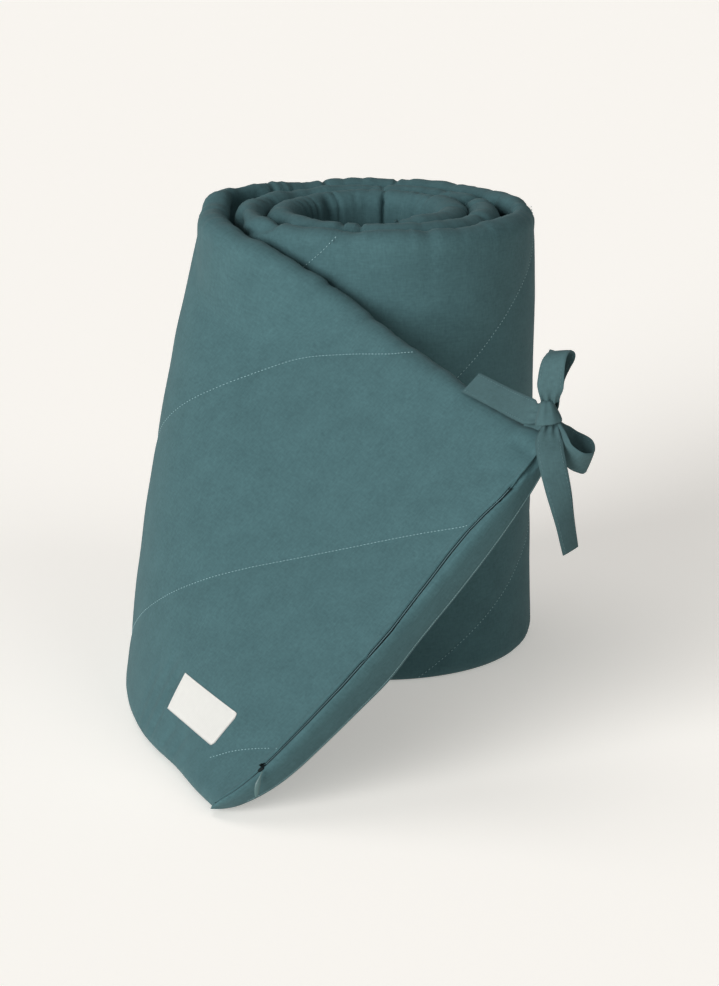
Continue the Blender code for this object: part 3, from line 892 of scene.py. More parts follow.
@dataclass
class PaddedBand:
    """The quilted band: two cotton faces over wadding, rolled up, with its free end as a flap."""

    shape: BandShape
    # Each line starts at the free end or near the upper edge and runs down towards the lower edge.
    quilt_lines: tuple[tuple[QuiltPoint, ...], ...] = (
        rows_of(QuiltPoint, (0, 54), (11, 52), (25, 46), (42, 36), (58, 24)),
        rows_of(QuiltPoint, (0, 236), (18, 225), (59, 197), (133, 138), (189, 92), (298, 0)),
        rows_of(
            QuiltPoint,
            *((147, 301), (169, 288), (197, 273), (227, 253), (246, 233)),
            *((267, 208), (293, 182), (372, 100), (476, 0)),
        ),
        rows_of(QuiltPoint, (452, 301), (572, 194), (690, 95), (739, 56), (815, 0)),
        rows_of(QuiltPoint, (672, 301), (710, 270), (748, 239), (788, 204), (945, 67), (1015, 0)),
        rows_of(QuiltPoint, (856, 301), (880, 276), (974, 196), (1080, 100), (1190, 0)),
        rows_of(QuiltPoint, (1080, 301), (1200, 196), (1300, 100), (1410, 0)),
        rows_of(QuiltPoint, (1300, 301), (1420, 196), (1520, 100), (1630, 0)),
    )
    # A quilting line slants, so the way across it is shorter than the way along the band by this.
    quilt_slant: float = 1.5
    groove_mm: float = 0.55
    groove_width_mm: float = 3.6
    hollow_mm: float = 0.5
    hollow_width_mm: float = 14.0
    # The quilting fades out below a line's lowest point, over these distances from it.
    quilt_fade: Pair = (-0.010, 0.004)
    # The wadding's soft swellings, and the smaller ones on top of them: height and spacing.
    swelling_mm: Pair = (0.9, 60.0)
    small_swelling_mm: Pair = (0.30, 22.0)
    # Puckers along both rims: how high they are, how far down they reach, and how far apart their waves
    # and small waves, their valleys and their gathers lie. A valley's width is a share of its noise.
    pucker_mm: float = 1.35
    pucker_reach_mm: float = 13.0
    pucker_wave_mm: Pair = (13.0, 6.0)
    pucker_valley_mm: float = 9.0
    pucker_valley_width: float = 0.16
    pucker_gather_mm: float = 31.0
    # How much of the puckers is left off the flap's lower rim.
    low_calm: float = 0.75
    rim_steps: int = 11

    # Where the stations change, in metres along, and how far apart they are.
    shown_from: float = -0.62
    hidden_spacing: float = 0.0022
    shown_spacing: float = 0.0027
    # Which parts of the roll only show near the rims, and how many of their points are kept.
    rim_shown: float = 0.045
    outer_hidden_until: float = -0.66
    hole_until: float = -0.80
    inner_hidden_until: float = -0.03
    hidden_keeps_every: int = 7
    hole_keeps_every: int = 2

    zip_low: float = 0.041
    zip_high: float = 0.266
    # Where the zip's middle is in its section.
    zip_middle_mm: float = 4.6
    zip_section: tuple[Groove, ...] = rows_of(
        Groove,
        *((11.0, 0.0), (8.2, 0.45), (6.9, 0.35), (6.5, -0.30), (6.3, -2.00), (5.4, -2.00), (5.3, -0.60)),
        *((4.3, -0.45), (4.1, -1.90), (3.3, -1.90), (3.0, -0.10), (2.4, 0.30), (1.0, 0.0)),
    )
    seam_section: tuple[Groove, ...] = rows_of(
        Groove,
        *((9.0, 0.0), (6.2, 0.35), (5.1, -0.10), (4.9, -2.20), (3.8, -2.20), (3.5, -0.10)),
        *((2.2, 0.20), (0.0, 0.0)),
    )
    zip_line: tuple[ZipPlace, ...] = rows_of(
        ZipPlace,
        *((0, 5.8), (30, 5.6), (44, 6.4), (55, 6.8), (88, 5.5), (106, 4.5), (150, 4.1), (176, 6.3)),
        *((188, 7.0), (208, 8.5), (228, 8.5), (241, 6.4), (254, 3.3), (268, 1.5), (282, 0.4), (301, 0.3)),
    )
    # The cloth lies calm under the label, from these distances from the end and heights.
    label_ends: Pair = (0.052, 0.140)
    label_heights: Pair = (0.022, 0.065)
    label_margin: float = 0.008
    label_calm: float = 0.85
    folds: tuple[Fold, ...] = (
        *folds_on(
            Side.INNER,
            *((1527, 190, 1527, 302, 4.2, 1.5), (1484, 200, 1482, 299, 5.0, 5.0)),
            *((1492, 210, 1491, 299, 2.4, 1.8), (1560, 230, 1554, 301, 3.0, 1.5)),
            *((1450, 240, 1452, 299, 1.1, 1.4), (1459, 240, 1461, 299, 1.1, 1.2)),
            *((1467, 240, 1469, 299, 0.9, 1.3), (1540, 200, 1541, 290, 0.8, 3.0)),
            *((1510, 200, 1511, 290, 0.8, 4.0), (385, 250, 422, 302, 8.0, 16.0)),
            *((452, 302, 450, 285, 3.0, 2.0), (437, 301, 436, 285, 2.6, 2.4)),
            *((648, 302, 646, 286, 2.6, 2.2), (640, 262, 722, 302, 8.5, 18.0)),
            (1158, 302, 1160, 284, 2.8, 2.0),
        ),
        *folds_on(
            Side.OUTER,
            *((945, 230, 958, 302, 9.0, 15.0), (1400, 250, 1396, 300, 4.0, 9.0)),
            *((3, 284, 26, 287, 1.8, 2.6), (10, 271, 34, 262, 0.9, 4.0)),
            *((6, 128, 26, 139, 0.9, 2.2), (100, 8, 96, 26, 1.6, 3.6)),
            *((118, 6, 113, 27, 1.6, 3.6), (139, 6, 136, 50, 2.0, 4.0)),
            *((153, 8, 150, 56, 1.4, 4.5), (166, 10, 165, 44, 0.9, 4.0)),
            (82, 5, 80, 22, 0.6, 2.6),
        ),
        *folds_on(
            Side.RIM,
            *((1527, 295, 1528, 302, 1.6, 1.5), (1667, 300, 1667, 302, 4.5, 11.0)),
            *((1598, 296, 1573, 300, -1.6, 5.0), (1347, 288, 1350, 302, 3.4, 1.5)),
            *((1335, 288, 1338, 302, 2.8, 1.6), (940, 288, 905, 301, 3.4, 3.0)),
            *((452, 302, 446, 302, 1.0, 1.8), (438, 302, 458, 302, -2.6, 9.0)),
            *((498, 301, 497, 290, 2.0, 2.0), (550, 302, 549, 288, 1.8, 2.0)),
            *((688, 302, 690, 284, 1.6, 3.0), (1009, 301, 1006, 286, 2.4, 2.2)),
            *((1105, 302, 1107, 288, 1.8, 1.8), (1186, 302, 1187, 294, 6.5, 2.4)),
            *((1181, 302, 1181, 297, 4.5, 1.6), (1249, 302, 1251, 288, 1.6, 2.0)),
            *((1600, 302, 1602, 288, 1.8, 2.4), (405, 301, 420, 301, -3.0, 11.0)),
        ),
    )

    def quilt_from_end(self, line: tuple[QuiltPoint, ...], height: Array) -> Array:
        """Distance from the free end of a quilting line, at each height, in metres."""
        points = smooth_run(line, 8) * MM
        points = points[np.argsort(points[:, 1])]
        return np.interp(height, points[:, 1], points[:, 0])

    def profile(self) -> tuple[Array, Array]:
        """Find the points round the band's section, from the lower edge's inner side.

        Returns:
            Their heights and their shares of the depth.
        """
        half = self.shape.thickness / 2
        tall = self.shape.tall + self.shape.pressed
        turns = math.pi * (1 + np.arange(self.rim_steps + 1) / self.rim_steps)
        low = half + half * np.sin(turns)
        shares = np.cos(turns)
        near = np.arange(2.5, 30.0, 2.9) * MM
        far = np.linspace(30.0, (tall - 2 * half) / MM - 30.0, 53) * MM
        rises = np.concatenate([near, far, (tall - 2 * half) - near[::-1]])
        heights = np.concatenate([low, half + rises, tall - low, half + rises[::-1]])
        ones = np.ones(len(rises))
        return heights, np.concatenate([shares, ones, -shares, -ones])

    def stations(self) -> Array:
        """Find the places of the mesh's rows, closer together at the free end and across narrow folds.

        Returns:
            Distances along the band, in metres.
        """
        shape, spacing = self.shape, self.shown_spacing
        rounds = 1 - np.cos(np.radians([8, 22, 36, 50, 64, 78, 90]))
        inner = -shape.wound_length + shape.thickness / 2 * rounds
        hidden = np.arange(inner[-1] + 0.004, self.shown_from, self.hidden_spacing)
        outer = np.arange(hidden[-1] + spacing, -0.001, spacing)
        flat = np.arange(0.0, shape.flap - 0.0150, spacing)
        crossed = [
            shape.flap - (fold.from_end + step * fold.width) * MM
            for fold in self.folds
            for step in (-1.4, -0.7, 0.0, 0.7, 1.4)
            if fold.width <= 2.0 and fold.from_end > 30
        ]
        middle = np.sort(np.concatenate([hidden, outer, flat, crossed]))
        middle = middle[np.concatenate([[True], np.diff(middle) > 0.0004])]
        fine = np.arange(flat[-1] + 0.0010, shape.flap - 0.0130, 0.0007)
        close = np.arange(fine[-1] + 0.0003, shape.flap - shape.front_rounding, 0.00030)
        rounds = 1 - np.cos(np.radians([84, 76, 68, 60, 52, 41, 30, 20, 10, 3]))
        return np.concatenate([inner, middle, fine, close, shape.flap - shape.front_rounding * rounds])

    def kept_points(self, stations: Array, heights: Array, shares: Array) -> Array:
        """Choose the points of the grid that the mesh keeps.

        Cloth that is pressed between two turns of the roll can't be seen away from the rims, so it has
        only a few points there, and the wall of the hole has half of them.

        Args:
            stations: places along the band, one for each row.
            heights: heights of the profile's points.
            shares: shares of the depth of the profile's points.

        Returns:
            True where a point is kept, rows by columns.
        """
        on_face = (heights > self.rim_shown) & (heights < self.shape.tall - self.rim_shown)
        number = np.cumsum(on_face)
        outer, inner = on_face & (shares > 0), on_face & (shares < 0)
        in_hole = stations <= self.hole_until
        inner_hidden = ~in_hole & (stations < self.inner_hidden_until)
        dropped = (number % self.hidden_keeps_every != 0) & (
            np.outer(stations < self.outer_hidden_until, outer) | np.outer(inner_hidden, inner)
        )
        return ~(dropped | np.outer(in_hole, inner & (number % self.hole_keeps_every != 0)))

    def zip_shift(self, height: Array) -> Array:
        """How much further from the free end than its section says the zip lies, in metres."""
        heights, ends = np.array(self.zip_line).T * MM
        return np.interp(height, heights, ends - self.zip_middle_mm * MM)

    def fold_depth(self, fold: Fold, from_end: Array, height: Array, share: Array, face: Array) -> Array:
        """Find how deep a fold is at each place.

        Args:
            fold: the fold.
            from_end: distances from the free end, in metres.
            height: heights above the lower edge.
            share: shares of the depth.
            face: how fully each place is on a face and not round a rim.

        Returns:
            Depths in metres.
        """
        first = np.array([fold.from_end, fold.height]) * MM
        run = np.array([fold.to_from_end, fold.to_height]) * MM - first
        beside, above = from_end - first[0], height - first[1]
        reached = np.clip((beside * run[0] + above * run[1]) / run.dot(run), 0.0, 1.0)
        away = np.hypot(beside - reached * run[0], above - reached * run[1])
        depth = fold.depth * MM * bell(away, fold.width * MM)
        if fold.side is Side.RIM:
            return depth
        return depth * np.where(share * fold.side.value > 0, face, 0.0)

    def section_level(self, section: tuple[Groove, ...], from_end: Array) -> Array:
        """The level of the cloth across a zip or seam, in metres."""
        ends, levels = np.array(section[::-1]).T * MM
        return np.interp(from_end, ends, levels)

    def quilted(self, from_end: Array, height: Array) -> Array:
        """Find how deep the quilting pulls the cloth in at each place.

        Args:
            from_end: distances from the free end, in metres.
            height: heights above the lower edge.

        Returns:
            Depths in metres.
        """
        depth = np.zeros_like(from_end)
        for quilt in self.quilt_lines:
            away = (from_end - self.quilt_from_end(quilt, height)) / self.quilt_slant
            pulled = self.groove_mm * bell(away, self.groove_width_mm * MM)
            pulled += self.hollow_mm * bell(away, self.hollow_width_mm * MM)
            above, below = self.quilt_fade
            lowest = quilt[-1].height * MM
            depth += pulled * MM * smoothly(height, lowest + above, lowest + below)
        return depth

    def puckered(self, along: Array, away: Array, share: Array, seed: int) -> Array:
        """Find how far the puckers of a rim stand out.

        Args:
            along: places along the band.
            away: distances from the rim.
            share: shares of the depth.
            seed: which of the rims' puckers.

        Returns:
            Distances in metres.
        """
        wave, small_wave = (spacing * MM for spacing in self.pucker_wave_mm)
        waves = ripple(along, wave, 11 + seed) + 0.5 * ripple(along, small_wave, 15 + seed)
        slanted = along + 0.15 * share * self.shape.thickness / 2
        valleys = bell(ripple(slanted, self.pucker_valley_mm * MM, 21 + seed), self.pucker_valley_width)
        valleys = valleys * (0.4 + 1.2 * ripple(along, self.pucker_gather_mm * MM, 25 + seed) ** 2)
        raised = fading(away, self.pucker_reach_mm * MM) * (0.6 * waves - 0.9 * valleys + 0.15)
        return self.pucker_mm * MM * raised

    def under_label(self, from_end: Array, height: Array) -> Array:
        """Find how fully each place lies under the label.

        Args:
            from_end: distances from the free end, in metres.
            height: heights above the lower edge.

        Returns:
            Shares from none to one.
        """
        under = 1.0
        for place, (low, high) in ((from_end, self.label_ends), (height, self.label_heights)):
            begun = smoothly(place, low, low + self.label_margin)
            under = under * begun * (1 - smoothly(place, high - self.label_margin, high))
        return under

    def zip_level(self, from_end: Array, height: Array) -> Array:
        """Find the cloth's level across the zip, and across the plain seam beyond its ends.

        Args:
            from_end: distances from the free end, in metres.
            height: heights above the lower edge.

        Returns:
            Levels in metres.
        """
        from_end = from_end - self.zip_shift(height)
        zipped = smoothly(height, self.zip_low - 0.002, self.zip_low + 0.001)
        zipped = zipped * (1 - smoothly(height, self.zip_high - 0.001, self.zip_high + 0.002))
        level = self.section_level(self.zip_section, from_end) * zipped
        return level + self.section_level(self.seam_section, from_end) * (1 - zipped)

    def relief(self, along: Array, height: Array, share: Array) -> Array:
        """Find how far the cloth stands out from the plain shape.

        Args:
            along: places along the band.
            height: heights above the lower edge.
            share: shares of the depth, one at the outer face.

        Returns:
            Distances along the surface's normal, in metres.
        """
        from_end = self.shape.flap - along
        tall = self.shape.tall + self.shape.pressed
        outer = share >= 0
        face = smoothly(np.abs(share), 0.2, 0.9)
        body = smoothly(from_end, 0.004, 0.016)
        (swollen, spacing), (small, small_spacing) = self.swelling_mm, self.small_swelling_mm
        swell = np.where(outer, *(billow(along, height, spacing * MM, seed) for seed in (3, 4)))
        small_swell = billow(along, height + 0.4 * outer, small_spacing * MM, 5)
        made = (swollen * swell + small * small_swell) * MM * face * body
        made -= self.quilted(from_end, height) * face * body
        calm = 1 - self.low_calm * smoothly(along, -0.02, 0.10) * (height < tall / 2)
        for seed, away in enumerate((height, tall - height)):
            made += self.puckered(along, away, share, seed) * calm * (0.25 + 0.75 * body)
        for fold in self.folds:
            made -= self.fold_depth(fold, from_end, height, share, face)
        made *= 1 - self.label_calm * self.under_label(from_end, height) * outer
        level = self.zip_level(from_end, height)
        return made + level * smoothly(share, 0.55, 0.95) * smoothly(height, 0.001, 0.006)

    def cloth(self, along: Array, height: Array, share: float) -> tuple[Array, ...]:
        """Find points of the cloth's surface on a face.

        Args:
            along: places along the band.
            height: heights above the lower edge.
            share: one for the outer face, minus one for the inner face.

        Returns:
            The points, and the ways along the band, up it and off the cloth.
        """
        along, height, share = matched(along, height, share)
        place, step = self.shape.place, 0.0005
        onward = unit(place(along + step, height, share) - place(along - step, height, share))
        upward = unit(place(along, height + step, share) - place(along, height - step, share))
        off = unit(np.cross(onward, upward)) * np.sign(share)[:, None]
        points = place(along, height, share) + off * self.relief(along, height, share)[:, None]
        return points, onward, upward, off

    def build(self, finish: Material) -> None:
        """Make the band.

        Args:
            finish: its cotton.
        """
        stations = self.stations()
        heights, shares = self.profile()
        rows, columns = len(stations), len(heights)
        along, height, share = np.repeat(stations, columns), np.tile(heights, rows), np.tile(shares, rows)
        points = self.shape.place(along, height, share)
        grid = points.reshape(rows, columns, 3)
        around = np.roll(grid, -1, 1) - np.roll(grid, 1, 1)
        normals = unit(np.cross(np.gradient(grid, axis=0), around)).reshape(-1, 3)
        off_floor = smoothly(height, 0.002, 0.012)
        points = points + normals * (self.relief(along, height, share) * off_floor)[:, None]
        points[:, 2] = np.maximum(points[:, 2], 0.0)
        girth = distances(np.stack([heights, shares * self.shape.thickness / 2], -1))
        uvs = np.stack([along, np.tile(girth, rows)], -1)
        uvs[:, 0] += self.longer_way(points.reshape(rows, columns, 3), stations).ravel()
        kept = self.kept_points(stations, heights, shares)
        numbers = np.cumsum(kept.ravel()).reshape(kept.shape) - 1
        faces = thinned_faces(kept, numbers)
        faces += self.end_faces(numbers[0]) + flipped(self.end_faces(numbers[-1]))
        points, uvs = points[kept.ravel()], uvs[kept.ravel()]
        band = mesh_piece(Piece("quilted_band", ("padded_band",), "teal_cotton"), points, faces, finish, uvs)

    def longer_way(self, points: Array, stations: Array) -> Array:
        """Find how much longer the cloth's way over the rounded end is than the stations say.

        Args:
            points: the grid of points, rows by columns by three.
            stations: the place along the band of each row.

        Returns:
            Distances in metres, rows by columns.
        """
        steps = np.linalg.norm(np.diff(points, axis=0), axis=2)
        near = (self.shape.flap - stations[1:] < 0.020)[:, None]
        longer = np.cumsum((steps - np.diff(stations)[:, None]) * near, axis=0)
        return np.vstack([np.zeros((1, points.shape[1])), longer])

    def end_faces(self, numbers: Array) -> Faces:
        """Find faces that close an end of the band, from its outer side across to its inner side.

        Args:
            numbers: the numbers of the points round that end.

        Returns:
            The corners of each face.
        """
        columns = len(numbers)
        lowest = self.rim_steps // 2
        faces = []
        for step in range(columns // 2 + 1):
            outer, outer_next = (lowest + step) % columns, (lowest + step + 1) % columns
            across, across_next = (lowest - step) % columns, (lowest - step - 1) % columns
            corners = (outer, outer_next, across_next, across)
            cap = tuple(dict.fromkeys(int(numbers[corner]) for corner in corners))
            if len(cap) > 2:
                faces.append(cap)
            if abs(outer_next - across_next) <= 1:
                break
        return faces


# ---------------------------------------------------------------------------------------------------
# Stitches


class Stitched(NamedTuple):
    """A stretch of the band that shows its stitches, in metres along, on the outer or inner face."""

    start: float
    stop: float
    share: float


@dataclass
class Stitches:
    """Rows of lock stitches, each stitch a short arched thread that dips into the cloth at its ends.

    Attributes:
        pitch_mm: distance from one stitch to the next.
        length_mm: the length of thread that shows.
        thread_mm: the thread's diameter.
        sides: how many sides the round thread is drawn with.
        rings: its rings of points, each with its share of the half length, its share of the full
            thickness and its rise in thread radii.
    """

    pitch_mm: float = 2.6
    length_mm: float = 1.35
    thread_mm: float = 0.5
    sides: int = 5
    rings: tuple[Triple, ...] = (
        (-1.0, 0.45, -0.30),
        (-0.55, 1.0, 0.30),
        (0.55, 1.0, 0.30),
        (1.0, 0.45, -0.30),
    )

    def threads(self, places: Array, ways: Array, offs: Array) -> tuple[Array, Faces]:
        """Make the threads.

        Args:
            places: the middle of each stitch, on the cloth.
            ways: the way that each runs.
            offs: the way off the cloth at each.

        Returns:
            The mesh's points and faces.
        """
        across = unit(np.cross(offs, ways))
        radius = self.thread_mm * MM / 2
        points = []
        for along, size, level in self.rings:
            middle = places + ways * (along * self.length_mm * MM / 2) + offs * (level * radius)
            for turn in 2 * math.pi * np.arange(self.sides) / self.sides:
                points.append(middle + (across * math.cos(turn) + offs * math.sin(turn)) * (size * radius))
        one = flipped(tube_faces(len(self.rings), self.sides))
        starts = range(0, len(points) * len(places), len(points))
        faces = [tuple(corner + start for corner in face) for start in starts for face in one]
        return np.stack(points, 1).reshape(-1, 3), faces


@dataclass
class Quilting:
    """The quilting thread, on the faces of the band that can be seen."""

    band: PaddedBand
    stitches: Stitches
    shown: tuple[Stitched, ...] = rows_of(
        Stitched, (-0.64, 0.437, 1.0), (-0.02, 0.437, -1.0), (-1.21, -0.80, -1.0)
    )
    zip_gap_mm: float = 7.2
    samples: int = 1200

    def build(self, finish: Material) -> None:
        """Make the thread of every quilting line.

        Args:
            finish: the thread's material.
        """
        shape = self.band.shape
        places, ways, offs = [], [], []
        for quilt in self.band.quilt_lines:
            lowest = max(0.004, quilt[-1].height * MM)
            highest = min(max(point.height for point in quilt) * MM, shape.tall - 0.001)
            heights = np.linspace(lowest, highest, self.samples)
            along = shape.flap - self.band.quilt_from_end(quilt, heights)
            run = distances(np.stack([along, heights], -1))
            spots = np.arange(0.001, run[-1], self.stitches.pitch_mm * MM)
            spot_along, spot_height = np.interp(spots, run, along), np.interp(spots, run, heights)
            clear = shape.flap - spot_along - self.band.zip_shift(spot_height) > self.zip_gap_mm * MM
            for part in self.shown:
                kept = (spot_along > part.start) & (spot_along < part.stop) & clear
                if not kept.any():
                    continue
                here_along, here_height = spot_along[kept], spot_height[kept]
                place, onward, upward, off = self.band.cloth(here_along, here_height, part.share)
                slope = np.interp(here_height, heights, np.gradient(along, heights))[:, None]
                places.append(place)
                ways.append(unit(upward + onward * slope))
                offs.append(off)
        points, faces = self.stitches.threads(np.vstack(places), np.vstack(ways), np.vstack(offs))
        mesh_piece(Piece("quilting_thread", (), "teal_cotton"), points, faces, finish)


@dataclass
class GussetHighlightStitching:
    """A fine row of pale stitches on the far edge of the free end's gusset: a painted highlight for the light
    line that the nap catches along that edge.
    """

    band: PaddedBand
    stitches: Stitches
    from_end: float = 0.0012
    low: float = 0.016
    high: float = 0.286

    def build(self, finish: Material) -> None:
        """Make the row.

        Args:
            finish: the pale thread's material, which paints the highlight.
        """
        heights = np.arange(self.low, self.high, self.stitches.pitch_mm * MM)
        place, _, upward, off = self.band.cloth(self.band.shape.flap - self.from_end, heights, -1.0)
        points, faces = self.stitches.threads(place, upward, off)
        mesh_piece(Piece("gusset_thread", (), "teal_cotton"), points, faces, finish)


# ---------------------------------------------------------------------------------------------------
# Zip and label


class ZipPart(Enum):
    """What a strip of the zip is. The seam kind is a dark strip that paints the plain seam's shadow below the
    zip.
    """

    COIL = "coil"
    TAPE = "tape"
    SEAM = "seam"


class ZipStrip(NamedTuple):
    """A strip in the seam, in mm: its edges' distances from the free end, and its lift off the slit."""

    piece: Piece
    from_end: float
    to_from_end: float
    lift: float
    part: ZipPart


@dataclass
class ZipClosure:
    """The concealed zip: its coil and tape lie low in the seam, and the puller hangs over the gusset. Dark
    nylon strips paint the shade in its slits and in the plain seam below it.
    """

    band: PaddedBand
    # The coil's near-black nylon paints the shade of the slit that it lies in. The far coil and the strip in
    # the seam below the zip are painted shade: dark nylon where the far slit and the plain seam show only
    # shadow.
    strips: tuple[ZipStrip, ...] = rows_of(
        ZipStrip,
        (Piece("zip_coil_teeth", ("zip_coil",), "zip_nylon"), 6.25, 5.45, 1.35, ZipPart.COIL),
        (Piece("zip_coil_far_teeth", (), "zip_nylon"), 4.05, 3.35, 1.65, ZipPart.COIL),
        # The tape's colour is lighter than the cloth's: painted light against the shade of the slit.
        (Piece("zip_tape", (), "zip_nylon"), 5.25, 4.35, 0.12, ZipPart.TAPE),
        (Piece("zip_tape_end", (), "zip_nylon"), 4.85, 3.85, 1.60, ZipPart.SEAM),
    )
    strip_depth_mm: float = 0.3
    tooth_mm: float = 1.2
    tooth_height_mm: float = 0.28
    seam_end: float = 0.005
    slider_mm: Triple = (2.8, 4.0, 1.8)
    slider_from_end: float = 0.0042
    slider_below_zip: float = 0.0043
    slider_seat: float = 0.0003
    # How much the slider narrows towards its lower end.
    slider_taper: float = 0.14
    puller_mm: Triple = (16.2, 3.0, 0.9)
    puller_bow_mm: Pair = (1.2, 1.0)
    puller_rows: int = 30
    puller_sides: int = 16

    def strip(self, strip: ZipStrip, finish: Material) -> None:
        """Make a strip that lies in the seam.

        Args:
            strip: where it lies and what it is.
            finish: its material.
        """
        toothed = strip.part is ZipPart.COIL
        low, high = self.band.zip_low - 0.003, self.band.zip_high - 0.004
        if strip.part is ZipPart.SEAM:
            low, high = self.seam_end, self.band.zip_low - 0.002
        heights = np.arange(low, high, 0.00035 if toothed else 0.002)
        across = np.linspace(strip.from_end, strip.to_from_end, 4) * MM
        height, from_end = (part.ravel() for part in np.meshgrid(heights, across, indexing="ij"))
        from_end = from_end + self.band.zip_shift(height)
        place, _, _, off = self.band.cloth(self.band.shape.flap - from_end, height, 1.0)
        lift = np.full_like(height, strip.lift * MM)
        if toothed:
            lift += self.tooth_height_mm * MM * np.cos(2 * math.pi * height / (self.tooth_mm * MM))
        points = np.vstack([place + off * lift[:, None], place - off * self.strip_depth_mm * MM])
        uvs = np.tile(np.stack([from_end, height], -1), (2, 1))
        faces = flipped(sheet_faces(len(heights), len(across)))
        mesh_piece(strip.piece, points, faces, finish, uvs)

    def slider_frame(self) -> tuple[Array, Array, Array, Array]:
        """Find where the slider lies.

        Returns:
            Its foot on the cloth, and the ways along the band, up the zip and off the cloth.
        """
        from_end, height = self.slider_from_end, self.band.zip_low - self.slider_below_zip
        on_front, seat = self.band.shape.on_front, self.slider_seat
        foot = on_front(from_end, height, seat)
        up = unit(on_front(from_end, height + 0.004, seat) - foot)
        onward = unit(on_front(from_end - 0.0025, height, seat) - foot)
        return foot, onward, up, unit(np.cross(onward, up))

    def slider(self, finish: Material) -> None:
        """Make the slider: a rounded wedge, wider at its upper end, with a bridge on its back.

        Args:
            finish: its material.
        """
        foot, onward, up, off = self.slider_frame()
        across, tall, deep = self.slider_mm
        side, rise = superellipse(28, 0.72)
        # Each ring has a level in mm and its shares of the slider's width and height.
        body = ((-1.6, 0.80, 0.80), (-0.6, 0.98, 0.98), (0.4, 1.0, 1.0), (0.8, 0.93, 0.93), (1.0, 0.80, 0.80))
        bridge = ((1.2, 0.42, 0.70), (deep - 0.8, 0.36, 0.52), (deep - 0.2, 0.26, 0.36))
        rings = []
        for part, taper in ((body, self.slider_taper), (bridge, 0.0)):
            for level, wide, long in part:
                widths = side * (1 - taper + taper * rise) * (across / 2 * wide * MM)
                lengths = rise * (tall / 2 * long * MM)
                rings.append(foot + np.outer(widths, onward) + np.outer(lengths, up) + off * level * MM)
        faces = flipped(tube_faces(len(rings), len(side)))
        piece = Piece("zip_slider_body", ("zip_slider",), "puller_enamel")
        mesh_piece(piece, np.vstack(rings), faces, finish)

    def puller(self, finish: Material) -> None:
        """Make the puller: a slim leaf with a rounded rim, curved along its length.

        Args:
            finish: its material.
        """
        foot, onward, up, off = self.slider_frame()
        long, wide, thick = (size * MM for size in self.puller_mm)
        top = foot + onward * 0.0029 + up * 0.0002 + off * 0.0024
        down = unit(0.42 * onward - 0.86 * up - 0.28 * off)
        outward = onward + off
        face = unit(outward - down * outward.dot(down))
        side = np.cross(face, down)
        turns = 2 * math.pi * np.arange(self.puller_sides) / self.puller_sides
        rings = []
        for fall in np.linspace(0.0, 1.0, self.puller_rows + 1):
            narrow = 0.30 + 0.70 * smoothly(fall, 0.10, 0.55)
            end = math.sqrt(max(1 - max(0.0, (fall - 0.50) / 0.50) ** 2.4, 0.0004))
            start = math.sqrt(max(1 - max(0.0, (0.06 - fall) / 0.06) ** 2, 0.04))
            half = wide / 2 * narrow * end * start
            out_bow, side_bow = (bow * MM * math.sin(math.pi * fall) for bow in self.puller_bow_mm)
            middle = top + down * (long * fall) + face * (thick / 2 + out_bow) - side * side_bow
            rim = np.outer(half * np.cos(turns), side) + np.outer(thick / 2 * np.sin(turns), face)
            rings.append(middle + rim)
        faces = flipped(tube_faces(len(rings), self.puller_sides))
        piece = Piece("zip_puller_leaf", ("zip_puller",), "puller_enamel")
        mesh_piece(piece, np.vstack(rings), faces, finish)

    def build(self, nylon: Material, tape: Material, enamel: Material) -> None:
        """Make the coil, the tape, the slider and the puller.

        Args:
            nylon: for the coil, darkened to paint the shade of its slit, for the dark strips that paint the
                shade of the far slit and of the seam's end, and for the slider.
            tape: for the tape, coloured lighter than the cloth as painted light against the slit's shade.
            enamel: for the puller.
        """
        for strip in self.strips:
            self.strip(strip, tape if strip.part is ZipPart.TAPE else nylon)
        self.slider(nylon)
        self.puller(enamel)


@dataclass
class WovenLabel:
    """The woven label, sewn flat on the flap. It carries no lettering."""

    band: PaddedBand
    from_end_low: Pair = (0.1292, 0.0617)
    from_end_high: Pair = (0.1306, 0.0600)
    heights: Pair = (0.0305, 0.0560)
    thickness_mm: float = 0.55
    lift_mm: float = 0.12
    corner_mm: float = 3.2
    rows: int = 47
    columns: int = 19

    def build(self, finish: Material) -> None:
        """Make the label, with rounded corners at its end and thinner at its edges.

        Args:
            finish: its satin.
        """
        low, high = self.heights
        length, width = self.from_end_high[0] - self.from_end_high[1], high - low
        corner = self.corner_mm * MM
        lengths, shares = np.linspace(0, length, self.rows), np.linspace(0, 1, self.columns)
        out, across = (part.ravel() for part in np.meshgrid(lengths, shares, indexing="ij"))
        past = np.maximum(0.0, out - (length - corner))
        pulled = corner - np.sqrt(np.maximum(corner**2 - past**2, 0.0))
        rise = pulled + (width - 2 * pulled) * across
        edge = np.minimum.reduce([out, length - out, rise - pulled, width - pulled - rise]) / MM
        puffed = self.thickness_mm * (0.35 + 0.65 * smoothly(edge, -0.05, 0.9))
        sides = zip(self.from_end_low, self.from_end_high)
        lefts, rights = (first + (last - first) * rise / width for first, last in sides)
        along = self.band.shape.flap - lefts + (lefts - rights) * out / length
        place, _, _, away = self.band.cloth(along, low + rise, 1.0)
        lifts = (self.lift_mm + puffed, np.full_like(puffed, self.lift_mm))
        points = np.vstack([place + away * (lift * MM)[:, None] for lift in lifts])
        uvs = np.tile(np.stack([out, rise], -1), (2, 1))
        piece = Piece("label_on_flap", ("woven_label",), "label_weave")
        label = mesh_piece(piece, points, sheet_faces(self.rows, self.columns), finish, uvs)


# ---------------------------------------------------------------------------------------------------
# Ribbon ties


class RibbonPlace(NamedTuple):
    """A place on a ribbon from the knot, in mm, and the way that its width runs there."""

    right: float
    up: float
    toward: float
    width_right: float
    width_up: float
    width_toward: float


